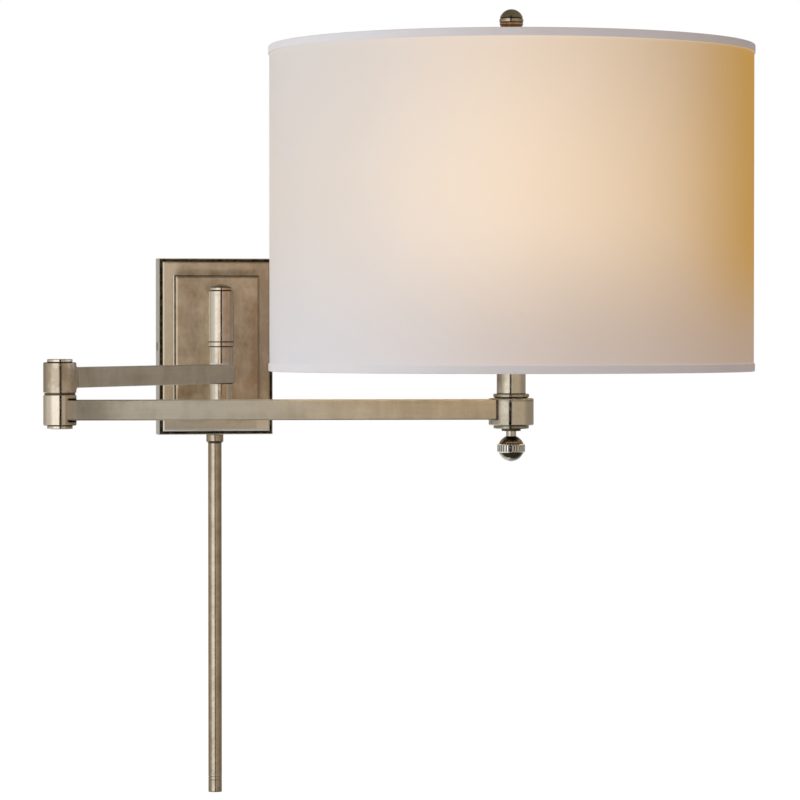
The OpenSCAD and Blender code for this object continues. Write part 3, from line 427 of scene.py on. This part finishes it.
lower_run = collar - elbow
lower_turn = math.atan2(lower_run.y, lower_run.x)
pocket_end = math.sqrt(COLLAR_RADIUS ** 2 - HALF_ARM ** 2)
lower_metal, lower_shader, lower_place = new_material("nickel_lower_arm")
lower_along = seen_from(lower_place, elbow, lower_turn)
lower_distance = axes(lower_along)[0]
elbow_dusk = 0.34 * lower_distance.fall(12.0 * MM, 40.0 * MM)
pocket_seam = 0.85 * lower_distance.near(lower_run.length - pocket_end - 0.6 * MM, 0.8 * MM)
lower_tint = 0.9 - 0.85 * lower_distance.rise(8.0 * MM, 65.0 * MM)
lower_tint = lower_tint + 0.38 * lower_distance.rise(130.0 * MM, 240.0 * MM)
arm_finish(lower_shader, lower_along, "lower_arm_tube", LOWER_PALE_LIT, LOWER_BROWN_LIT, gloss=0.42,
           seed=5.0, tint=lower_tint, joint_grime=elbow_dusk.most(pocket_seam))
cover(lower_metal, nodes["lower_arm_tube"])

plain_finish("lead_sheath", ["upper_arm_lead", "lower_arm_lead"], rgb(0.80, 0.78, 0.72),
             rgb(0.88, 0.86, 0.80), gloss=0.45, duller=0.1, scale=200.0)

# ------------------------------------------------------------------ Elbow
# Two turned barrels on a hollow pin, with a thin washer between them and plain discs above and
# below. Each has a boss that its arm is brazed to, and a slit shows above and below the lower one,
# black with patina and painted shade. The upper barrel is the duller and browner of the two.

TURNED_PALE = rgb(0.84, 0.78, 0.68)
TURNED_BROWN = rgb(0.66, 0.55, 0.42)
BARREL_BROWN = rgb(0.53, 0.455, 0.36)

upper_low, upper_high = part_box("upper_barrel")
lower_low, lower_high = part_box("lower_barrel")
arm_low, arm_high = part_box("lower_arm_tube")
elbow_metal, elbow_shader, elbow_place = new_material("nickel_elbow")
elbow_height = axes(elbow_place)[2]
boss_distance = axes(seen_from(elbow_place, elbow, lower_turn))[0]
above_washer = elbow_height.rise(lower_high.z, upper_low.z)
on_upper = above_washer * elbow_height.fall(upper_high.z, upper_high.z + 0.1 * MM)
on_boss = (1.0 - above_washer) * boss_distance.rise(3.0 * MM, 4.0 * MM)
# Each slit beside the boss is black with patina and with painted shade.
slit_patina_and_shade = joints_black(elbow_height, [arm_high.z + 0.5 * MM, arm_low.z - 0.5 * MM], 1.1 * MM)
slit_patina_and_shade = 0.95 * slit_patina_and_shade * boss_distance.rise(4.6 * MM, 6.0 * MM)
elbow_grime_and_shade = joints_black(elbow_height, [upper_high.z, lower_low.z]).most(slit_patina_and_shade)
elbow_brown = on_upper.most(0.5 * on_boss).mix(TURNED_BROWN, BARREL_BROWN)
_, elbow_roughness = plated_metal(
    elbow_shader, elbow_place, TURNED_PALE, elbow_brown, elbow_grime_and_shade, brushed=(1.0, 1.0, 0.03),
    gloss=0.09, seed=6.0, patina=0.4 + on_upper, tint=0.55 * on_upper + 0.85 * on_boss - 0.1)
plug(elbow_shader, Roughness=elbow_roughness + 0.30 * on_boss + 0.06 * on_upper)
cover(elbow_metal, nodes["upper_barrel"], nodes["lower_barrel"], nodes["elbow_top_cap"],
      nodes["elbow_bottom_cap"])

# ------------------------------------------------------------------ Collar and post
# A collar turned from bar with the arm let into a pocket in its side, a ring above and below, and a
# plain post that carries the socket. The collar's left side is worn, and the ring below is darker.

COLLAR_PALE = rgb(0.82, 0.77, 0.68)
COLLAR_BROWN = rgb(0.48, 0.44, 0.37)
RING_PALE = rgb(0.56, 0.56, 0.48)
RING_BROWN = rgb(0.20, 0.19, 0.14)

barrel_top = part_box("collar_barrel")[1].z
flange_low, flange_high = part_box("collar_flange")
collar_metal, collar_shader, collar_place = new_material("nickel_collar")
collar_x, _, collar_height = axes(seen_from(collar_place, collar, lower_turn))
beside_arm = collar_height.rise(arm_low.z - 0.4 * MM, arm_low.z)
beside_arm = beside_arm * collar_height.fall(arm_high.z, arm_high.z + 0.4 * MM)
pocket_line = 0.9 * collar_x.near(0.5 * MM - pocket_end, 1.5 * MM) * beside_arm
above_barrel = collar_height.rise(flange_low.z, flange_low.z + 0.2 * MM)
on_flange = above_barrel * collar_height.fall(flange_high.z, flange_high.z + 0.1 * MM)
collar_grime = joints_black(collar_height, [barrel_top + 0.2 * MM, flange_high.z])
collar_grime = collar_grime.most(pocket_line).most(0.35 * on_flange)
worn_left = collar_x.fall(-4.5 * MM, 0.0) * (1.0 - 0.5 * above_barrel)
plated_metal(collar_shader, collar_place, COLLAR_PALE, COLLAR_BROWN, collar_grime,
             brushed=(1.0, 1.0, 0.03), gloss=0.11, seed=8.0, patina=0.7, tint=worn_left - 0.30)
cover(collar_metal, nodes["collar_barrel"], nodes["collar_flange"], nodes["socket_post"],
      nodes["knob_shaft"])

ring_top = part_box("collar_ring")[1].z
ring_metal, ring_shader, ring_place = new_material("nickel_under_ring")
ring_grime = 0.9 * axes(ring_place)[2].near(ring_top, 0.9 * MM)
plated_metal(ring_shader, ring_place, RING_PALE, RING_BROWN, ring_grime, brushed=(1.0, 1.0, 0.03),
             gloss=0.14, seed=2.5, patina=1.1, tint=0.1)
cover(ring_metal, nodes["collar_ring"])

# ------------------------------------------------------------------ Knob and finial
# Turned brass, blackened and waxed. The knob is a ball with a bright belt of straight grooves, and
# is painted paler below it, a painted reflection. The finial has two black lines, and is red at its
# foot.

BELT_PALE = rgb(0.90, 0.90, 0.88)
BELT_GREY = rgb(0.66, 0.64, 0.60)
BALL_PALE = rgb(0.20, 0.17, 0.135)
BALL_BROWN = rgb(0.14, 0.11, 0.085)
BALL_REFLECTION_PALE = rgb(0.44, 0.435, 0.38)
BALL_REFLECTION_BROWN = rgb(0.32, 0.31, 0.265)
FINIAL_PALE = rgb(0.60, 0.53, 0.41)
FINIAL_BROWN = rgb(0.28, 0.22, 0.15)
FINIAL_RED = rgb(0.105, 0.048, 0.03)
FINIAL_BALL = 7.6 * MM

belt_low, belt_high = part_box("knob_ring")
belt_radius = (belt_high.x - belt_low.x) / 2
belt_metal, belt_shader, belt_place = new_material("nickel_knurl")
belt_x, belt_y, belt_height = axes(seen_from(belt_place, collar))
in_groove = off_axis(belt_x, belt_y).fall(belt_radius - 0.42 * MM, belt_radius - 0.12 * MM)
in_groove = in_groove * belt_height.rise(belt_low.z + 0.5 * MM, belt_low.z + 0.9 * MM)
in_groove = in_groove * belt_height.fall(belt_high.z - 0.9 * MM, belt_high.z - 0.5 * MM)
plated_metal(belt_shader, belt_place, BELT_PALE, BELT_GREY, in_groove, brushed=(1.0, 1.0, 0.03),
             gloss=0.12, seed=3.0, patina=0.4)
cover(belt_metal, nodes["knob_ring"])

ball_metal, ball_shader, ball_place = new_material("bronze_ball")
ball_height = axes(ball_place)[2]
# Below the belt the ball is painted paler, a painted reflection.
ball_foot_reflection = ball_height.fall(belt_low.z - 0.2 * MM, belt_low.z)
ball_grime = 0.8 * joints_black(ball_height, [belt_low.z, belt_high.z], 0.7 * MM)
plated_metal(ball_shader, ball_place, ball_foot_reflection.mix(BALL_PALE, BALL_REFLECTION_PALE),
             ball_foot_reflection.mix(BALL_BROWN, BALL_REFLECTION_BROWN), ball_grime, brushed=(1.0, 1.0, 0.05),
             gloss=0.22 - 0.14 * ball_foot_reflection, seed=1.0, speck=0.3)
cover(ball_metal, nodes["knob_ball"])

finial_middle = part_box("finial")[1].z - FINIAL_BALL
finial_metal, finial_shader, finial_place = new_material("bronze_finial")
finial_height = axes(finial_place)[2]
finial_foot = finial_height.fall(finial_middle - 2.2 * MM, finial_middle - 1.4 * MM)
finial_grime = joints_black(finial_height, [finial_middle - 1.0 * MM, finial_middle + 1.8 * MM])
finial_brown = finial_foot.mix(FINIAL_BROWN, FINIAL_RED)
plated_metal(finial_shader, finial_place, FINIAL_PALE, finial_brown, finial_grime,
             brushed=(1.0, 1.0, 0.05), gloss=0.10, seed=5.0, patina=0.8, tint=0.9 * finial_foot,
             speck=0.5)
cover(finial_metal, nodes["finial"])

# ------------------------------------------------------------------ Socket and harp
# Plain brass stampings and wire, tarnished in blotches, a card liner, and a screw shell that grips
# the bulb.

BRASS = rgb(0.78, 0.60, 0.32)
TARNISH = rgb(0.55, 0.38, 0.18)

brass, brass_shader, brass_place = new_material("plain_brass")
tarnish = noise(brass_place, 120.0, 5.0).rise(0.35, 0.7)
drawn_lines = noise(brass_place, 1200.0, 2.0, stretch=(1.0, 1.0, 0.05))
plug(brass_shader,
     Base_Color=(0.8 * tarnish + 0.2 * drawn_lines).mix(BRASS, TARNISH),
     Roughness=0.20 + 0.15 * tarnish + 0.05 * drawn_lines)
brass_shader.inputs["Metallic"].default_value = 1.0
cover(brass, nodes["harp_saddle"], nodes["socket_cup"], nodes["socket_shell"], nodes["screw_shell"],
      nodes["harp"], nodes["harp_sleeves"], nodes["shade_spider"], nodes["shade_ring"])

plain_finish("liner_card", ["socket_liner"], rgb(0.22, 0.14, 0.08), rgb(0.36, 0.25, 0.15),
             gloss=0.75, duller=0.1, scale=700.0, detail=4.0)

# ------------------------------------------------------------------ Bulb
# A globe of frosted glass, lit, and warmer towards its neck, cemented into a bright aluminium cap
# that screws into the socket.

BULB_GLOW = 4.0
NECK_GLOW = rgb(0.9, 0.45, 0.17)
GLOBE_GLOW = rgb(1.0, 0.78, 0.50)

plain_finish("bulb_cap", ["bulb_base"], rgb(0.70, 0.70, 0.71), rgb(0.80, 0.80, 0.79), gloss=0.2,
             duller=0.1, scale=800.0, metallic=1.0)

globe_low, globe_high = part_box("bulb_globe")
globe_level = globe_high.z - (globe_high.x - globe_low.x) / 2
glass, glass_shader, glass_place = new_material("bulb_glass")
frost = noise(glass_place, 1400.0)
plug(glass_shader,
     Base_Color=frost.mix(rgb(0.86, 0.85, 0.82), rgb(0.93, 0.92, 0.90)),
     Emission_Color=axes(glass_place)[2].rise(globe_low.z, globe_level).mix(NECK_GLOW, GLOBE_GLOW),
     Roughness=0.30 + 0.2 * frost)
glass_shader.inputs["Emission Strength"].default_value = BULB_GLOW
cover(glass, nodes["bulb_globe"])

# ------------------------------------------------------------------ Shade
# Natural paper on a stiff white liner, rolled into a drum and lapped at the back, where the lap
# stands a little proud. The bulb makes it glow: peach low down, amber higher up, pale and bright
# in front of the bulb, deep amber to the right, and dimmer to the left.

PAPER_THICK = 1.4 * MM
LAP_RISE = 0.3 * MM
LAP_FACES = 3
DRUM_SIDES = 192

drum_low, drum_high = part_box("shade_drum")
drum_middle = (drum_low + drum_high) / 2
drum_radius = (drum_high.x - drum_low.x) / 2


def begin(name, add, **options):
    """Adds a primitive with nothing else selected, names it and opens it for editing."""
    bpy.ops.object.select_all(action="DESELECT")
    add(**options)
    piece = bpy.context.object
    piece.name = name
    bpy.ops.object.mode_set(mode="EDIT")
    return piece


def pick(piece, domain, wanted):
    """In edit mode, selects the edges or faces whose middle passes the test."""
    bpy.ops.mesh.select_mode(type=domain)
    bpy.ops.mesh.select_all(action="DESELECT")
    bpy.ops.object.mode_set(mode="OBJECT")
    mesh = piece.data
    for item in mesh.edges if domain == "EDGE" else mesh.polygons:
        corners = [mesh.vertices[index].co for index in item.vertices]
        item.select = wanted(piece.matrix_world @ (sum(corners, Vector()) / len(corners)))
    bpy.ops.object.mode_set(mode="EDIT")


def settle(piece, wall=0.0, side=-1.0):
    """Leaves editing, moves the piece's place into its mesh, thickens a skin and smooths it."""
    bpy.ops.object.mode_set(mode="OBJECT")
    bpy.ops.object.transform_apply(location=True, rotation=True, scale=True)
    if wall:
        skin = piece.modifiers.new("Thickness", "SOLIDIFY")
        skin.thickness = wall
        skin.offset = side
        bpy.ops.object.modifier_apply(modifier=skin.name)
    bpy.ops.object.shade_smooth_by_angle(angle=math.radians(35.0))


drum = begin("shade_paper_drum", bpy.ops.mesh.primitive_cylinder_add, vertices=DRUM_SIDES,
             radius=drum_radius - LAP_RISE, depth=drum_high.z - drum_low.z, end_fill_type="NOTHING",
             location=drum_middle)
lap_half = (drum_radius + MM) * math.sin(math.pi * LAP_FACES / DRUM_SIDES)
pick(drum, "FACE",
     lambda middle: middle.y > drum_middle.y and abs(middle.x - drum_middle.x) < lap_half)
bpy.ops.mesh.extrude_region_shrink_fatten(TRANSFORM_OT_shrink_fatten={"value": LAP_RISE})
settle(drum, PAPER_THICK)

GLOW_TURN = math.radians(-11.4)
GLOW_ASIDE = 15.0 * MM
AMBER_LOW = rgb(0.405, 0.286, 0.208)
AMBER_FULL = rgb(0.50, 0.28, 0.06)
AMBER_HIGH = rgb(0.435, 0.245, 0.06)
AMBER_EDGE = rgb(0.475, 0.237, 0.01)
GLOW_CORE = rgb(0.187, 0.180, 0.180)
DARK = rgb(0.0, 0.0, 0.0)
LINER_WHITE = rgb(0.80, 0.78, 0.72)
LINER_LOW = rgb(0.26, 0.18, 0.10)
LINER_FULL = rgb(0.48, 0.35, 0.20)
PAPER_DEEP = rgb(0.49, 0.56, 0.65)
PAPER_PALE = rgb(0.54, 0.61, 0.70)

paper, paper_shader, paper_place = new_material("shade_paper")
paper_x, paper_y, paper_z = axes(seen_from(paper_place, drum_middle, GLOW_TURN))
fibre = noise(paper_place, 1100.0, 4.0, 0.7, stretch=(1.0, 1.0, 0.30))
cloud = noise(paper_place, 26.0, 3.0, 0.5)

glow = paper_z.rise(drum_low.z - 20.0 * MM, globe_level).mix(AMBER_LOW, AMBER_FULL)
glow = paper_z.rise(globe_level, drum_high.z).mix(glow, AMBER_HIGH)
right_side = paper_x.rise(90.0 * MM, 150.0 * MM) * paper_z.rise(0.0, 80.0 * MM)
glow = right_side.mix(glow, AMBER_EDGE)
left_side = 0.38 * paper_x.fall(-drum_radius, 0.1 * drum_radius)
glow = (left_side + 0.05 * fibre + 0.06 * cloud).mix(glow, DARK)
above_globe = 0.6 * (paper_z - globe_level).most(0.0)
core = off_axis(paper_x - GLOW_ASIDE, above_globe).fall(10.0 * MM, 155.0 * MM)
core = core * paper_z.rise(-5.0 * MM, 85.0 * MM)
glow = core.mix(glow, GLOW_CORE, blend="ADD")

outside = off_axis(paper_x, paper_y).rise(drum_radius - 1.2 * MM, drum_radius - 0.8 * MM)
liner_glow = paper_z.rise(drum_low.z - 30.0 * MM, globe_level).mix(LINER_LOW, LINER_FULL)
plug(paper_shader,
     Base_Color=outside.mix(LINER_WHITE, fibre.mix(PAPER_DEEP, PAPER_PALE)),
     Emission_Color=outside.mix(liner_glow, glow),
     Roughness=0.72 + 0.15 * fibre,
     Normal=fibre.bump(0.10))
paper_shader.inputs["Emission Strength"].default_value = 1.0
cover(paper, drum)
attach(drum, "lower_arm")
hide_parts("shade_drum")

# ------------------------------------------------------------------ Shade tapes
# Narrow white cotton tape round both edges of the shade, glued down outside, folded over the edge
# and glued down inside. A little of the bulb's light comes through it.

TAPE_THICK = 0.35 * MM
FOLD_ROUND = 0.35 * MM
HAIR = 0.01 * MM
TAPE_DEEP = rgb(0.42, 0.47, 0.52)
TAPE_PALE = rgb(0.50, 0.55, 0.60)
TAPE_GLOW = rgb(0.375, 0.303, 0.275)


def edge_tape(name, node, up):
    """A folded tape in place of a node, with its fold at the top or at the bottom edge."""
    low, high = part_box(node)
    middle = (low + high) / 2
    outer = (high.x - low.x) / 2 - TAPE_THICK
    inner = outer - PAPER_THICK - 2 * LAP_RISE
    height = high.z - low.z - TAPE_THICK
    fold = high.z - TAPE_THICK if up else low.z + TAPE_THICK
    back = -height if up else height

    def on_fold_line(place):
        reach = (place.xy - middle.xy).length
        off_line = abs(reach - (outer + inner) / 2) > 0.3 * (outer - inner)
        return abs(place.z - fold) < HAIR and off_line

    piece = begin(name, bpy.ops.mesh.primitive_cylinder_add, vertices=DRUM_SIDES, radius=outer,
                  depth=height, end_fill_type="NOTHING",
                  location=(middle.x, middle.y, fold + back / 2))
    pick(piece, "EDGE", lambda place: abs(place.z - fold) < HAIR)
    bpy.ops.mesh.extrude_edges_move()
    bpy.ops.transform.resize(value=(inner / outer, inner / outer, 1.0),
                             center_override=(middle.x, middle.y, fold))
    bpy.ops.mesh.extrude_edges_move(TRANSFORM_OT_translate={"value": (0.0, 0.0, back)})
    bpy.ops.mesh.select_all(action="SELECT")
    bpy.ops.mesh.remove_doubles(threshold=0.1 * HAIR)
    bpy.ops.mesh.normals_make_consistent(inside=False)
    pick(piece, "EDGE", on_fold_line)
    bpy.ops.mesh.bevel(offset=FOLD_ROUND, segments=3, affect="EDGES")
    settle(piece, TAPE_THICK, 1.0)
    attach(piece, "lower_arm")
    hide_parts(node)
    return piece


top_tape = edge_tape("shade_tape_top", "shade_top_tape", True)
bottom_tape = edge_tape("shade_tape_bottom", "shade_bottom_tape", False)
tape, tape_shader, tape_place = new_material("shade_tape")
tape_rib = noise(tape_place, 1900.0, 2.0, 0.6, stretch=(1.0, 1.0, 0.4))
tape_cloud = noise(tape_place, 60.0)
plug(tape_shader,
     Base_Color=tape_rib.mix(TAPE_DEEP, TAPE_PALE),
     Emission_Color=(0.15 * tape_rib + 0.15 * tape_cloud).mix(TAPE_GLOW, DARK),
     Roughness=0.8 + 0.1 * tape_rib,
     Normal=tape_rib.bump(0.2))
tape_shader.inputs["Emission Strength"].default_value = 1.0
cover(tape, top_tape, bottom_tape)

# ------------------------------------------------------------------ Studio
# Not part of the lamp: a pale floor a metre below it, two soft lamps, the camera, and for the
# metal's reflections a tent that is bright on the left and brown on the right, with a black flag
# that draws the dark line on each turned piece.

FLOOR_DROP = 1.0
FLOOR_SIZE = 60.0
FLOOR_GLOW = rgb(0.965, 0.965, 0.965)
AMBIENT = 0.05
floor_level = cad_box[0].z - FLOOR_DROP


def stage_white(wire):
    """1 for camera, mirror and see-through rays, which find a plain white studio."""
    rays = wire.node("LightPath", {}, {}, "Is Camera Ray")
    mirror = Wire(rays.tree, rays.socket.node.outputs["Is Glossy Ray"])
    through = Wire(rays.tree, rays.socket.node.outputs["Is Transmission Ray"])
    return (rays + mirror + through).least(1.0)


floor = begin("floor", bpy.ops.mesh.primitive_plane_add, size=FLOOR_SIZE,
              location=(0.0, 0.0, floor_level))
settle(floor)
floor_material, floor_shader, floor_place = new_material("pale_floor")
plug(floor_shader,
     Base_Color=noise(floor_place, 3.0).mix(rgb(0.88, 0.88, 0.88), rgb(0.92, 0.92, 0.92)),
     Emission_Color=stage_white(floor_place).mix(DARK, FLOOR_GLOW))
floor_shader.inputs["Emission Strength"].default_value = 1.0
floor_shader.inputs["Roughness"].default_value = 0.9
floor_shader.inputs["Specular IOR Level"].default_value = 0.0
cover(floor_material, floor)

world = bpy.data.worlds.new("surround")
bpy.context.scene.world = world
world.use_nodes = True
backdrop = world.node_tree.nodes["Background"]
backdrop_strength = AMBIENT + (1.0 - AMBIENT) * stage_white(Wire(world.node_tree, None))
world.node_tree.links.new(backdrop_strength.socket, backdrop.inputs["Strength"])
backdrop.inputs["Color"].default_value = rgb(1.0, 1.0, 1.0)


def mirror_only(piece, material):
    """Finishes a stage piece that only mirrors see."""
    settle(piece)
    cover(material, piece)
    for ray in ("camera", "diffuse", "shadow", "transmission"):
        setattr(piece, "visible_" + ray, False)


CAMERA_TURN = math.radians(11.4)
TENT_MIDDLE = Vector((0.0, -0.2, 0.0))
TENT_RADIUS = 4.2
TENT_TOP = 3.4
TENT_FOOT = floor_level + 0.05
BACK_GREY = rgb(0.62, 0.63, 0.61)
LEFT_WHITE = rgb(1.18, 1.15, 1.09)
CEILING = rgb(0.22, 0.20, 0.16)
CELLAR = rgb(0.07, 0.06, 0.045)
CLOTH_BY_BEARING = (
    (-165.0, -150.0, rgb(0.40, 0.375, 0.33)),
    (-125.0, -80.0, rgb(0.66, 0.625, 0.555)),
    (-72.0, -40.0, LEFT_WHITE),
    (1.4, 2.4, rgb(0.50, 0.43, 0.35)),
    (12.0, 30.0, rgb(0.49, 0.41, 0.315)),
    (60.0, 95.0, rgb(0.305, 0.265, 0.215)),
    (150.0, 175.0, BACK_GREY),
)

tent_material, tent_shader, tent_place = new_material("tent_cloth")
tent_x, tent_y, tent_z = axes(seen_from(tent_place, TENT_MIDDLE, -CAMERA_TURN))
bearing = tent_x.maths("ARCTAN2", tent_x, -tent_y) * math.degrees(1.0)
cloth = BACK_GREY
for start, end, colour in CLOTH_BY_BEARING:
    cloth = bearing.rise(start, end).mix(cloth, colour)
below = tent_z.fall(-1.2, -0.9)
cloth = tent_z.rise(1.6, TENT_TOP).mix(cloth, CEILING)
cloth = below.mix(cloth, CELLAR)
cloth = (below * bearing.fall(-150.0, -95.0)).mix(cloth, LEFT_WHITE)
cloth = (below * bearing.rise(110.0, 160.0)).mix(cloth, BACK_GREY)
plug(tent_shader, Emission_Color=cloth)
tent_shader.inputs["Base Color"].default_value = DARK
tent_shader.inputs["Specular IOR Level"].default_value = 0.0
tent_shader.inputs["Emission Strength"].default_value = 1.0
tent = begin("light_tent", bpy.ops.mesh.primitive_cylinder_add, vertices=96, radius=TENT_RADIUS,
             depth=TENT_TOP - TENT_FOOT,
             location=(TENT_MIDDLE.x, TENT_MIDDLE.y, (TENT_TOP + TENT_FOOT) / 2))
mirror_only(tent, tent_material)

FLAG_MIDDLE = (-0.165, -1.225, 0.0)
FLAG_WIDTH = 0.28
FLAG_HEIGHT = 3.0
flag_material, flag_shader, flag_place = new_material("black_flag")
plug(flag_shader, Roughness=0.9 + 0.1 * noise(flag_place, 5.0))
flag_shader.inputs["Base Color"].default_value = rgb(0.004, 0.003, 0.002)
flag_shader.inputs["Specular IOR Level"].default_value = 0.0
flag = begin("flag", bpy.ops.mesh.primitive_plane_add, size=1.0, location=FLAG_MIDDLE)
bpy.ops.transform.resize(value=(FLAG_WIDTH, FLAG_HEIGHT, 1.0), center_override=FLAG_MIDDLE)
bpy.ops.transform.rotate(value=math.radians(90.0), orient_axis="X", center_override=FLAG_MIDDLE)
mirror_only(flag, flag_material)

LAMP_AIM = Vector((0.05, -0.2, 0.05))
LAMP_DISTANCE = 2.8
LAMP_SIZE = 1.6


def soft_lamp(name, bearing_degrees, height, power):
    """A square lamp that mirrors don't show, at a bearing that is negative left of the camera."""
    angle = CAMERA_TURN - math.radians(bearing_degrees)
    away = Vector((-LAMP_DISTANCE * math.sin(angle), -LAMP_DISTANCE * math.cos(angle), height))
    lamp = bpy.data.lights.new(name, "AREA")
    lamp.size = LAMP_SIZE
    lamp.energy = power
    holder = bpy.data.objects.new(name, lamp)
    holder.location = LAMP_AIM + away
    holder.rotation_euler = (-away).to_track_quat("-Z", "Y").to_euler()
    holder.visible_glossy = False
    bpy.context.collection.objects.link(holder)


soft_lamp("front_lamp", -22.0, 0.5, 26.0)
soft_lamp("left_lamp", -82.0, 0.4, 43.0)

CAMERA_LENS = 165.96
CAMERA_PLACE = (-0.376, -2.519, 0.012)
CAMERA_DIP = math.radians(1.103)
camera_data = bpy.data.cameras.new("camera")
camera_data.lens = CAMERA_LENS
camera_data.clip_end = 100.0
camera = bpy.data.objects.new("camera", camera_data)
camera.location = CAMERA_PLACE
camera.rotation_euler = (math.radians(90.0) - CAMERA_DIP, 0.0, -CAMERA_TURN)
bpy.context.collection.objects.link(camera)
bpy.context.scene.camera = camera
bpy.context.scene.view_settings.view_transform = "Standard"
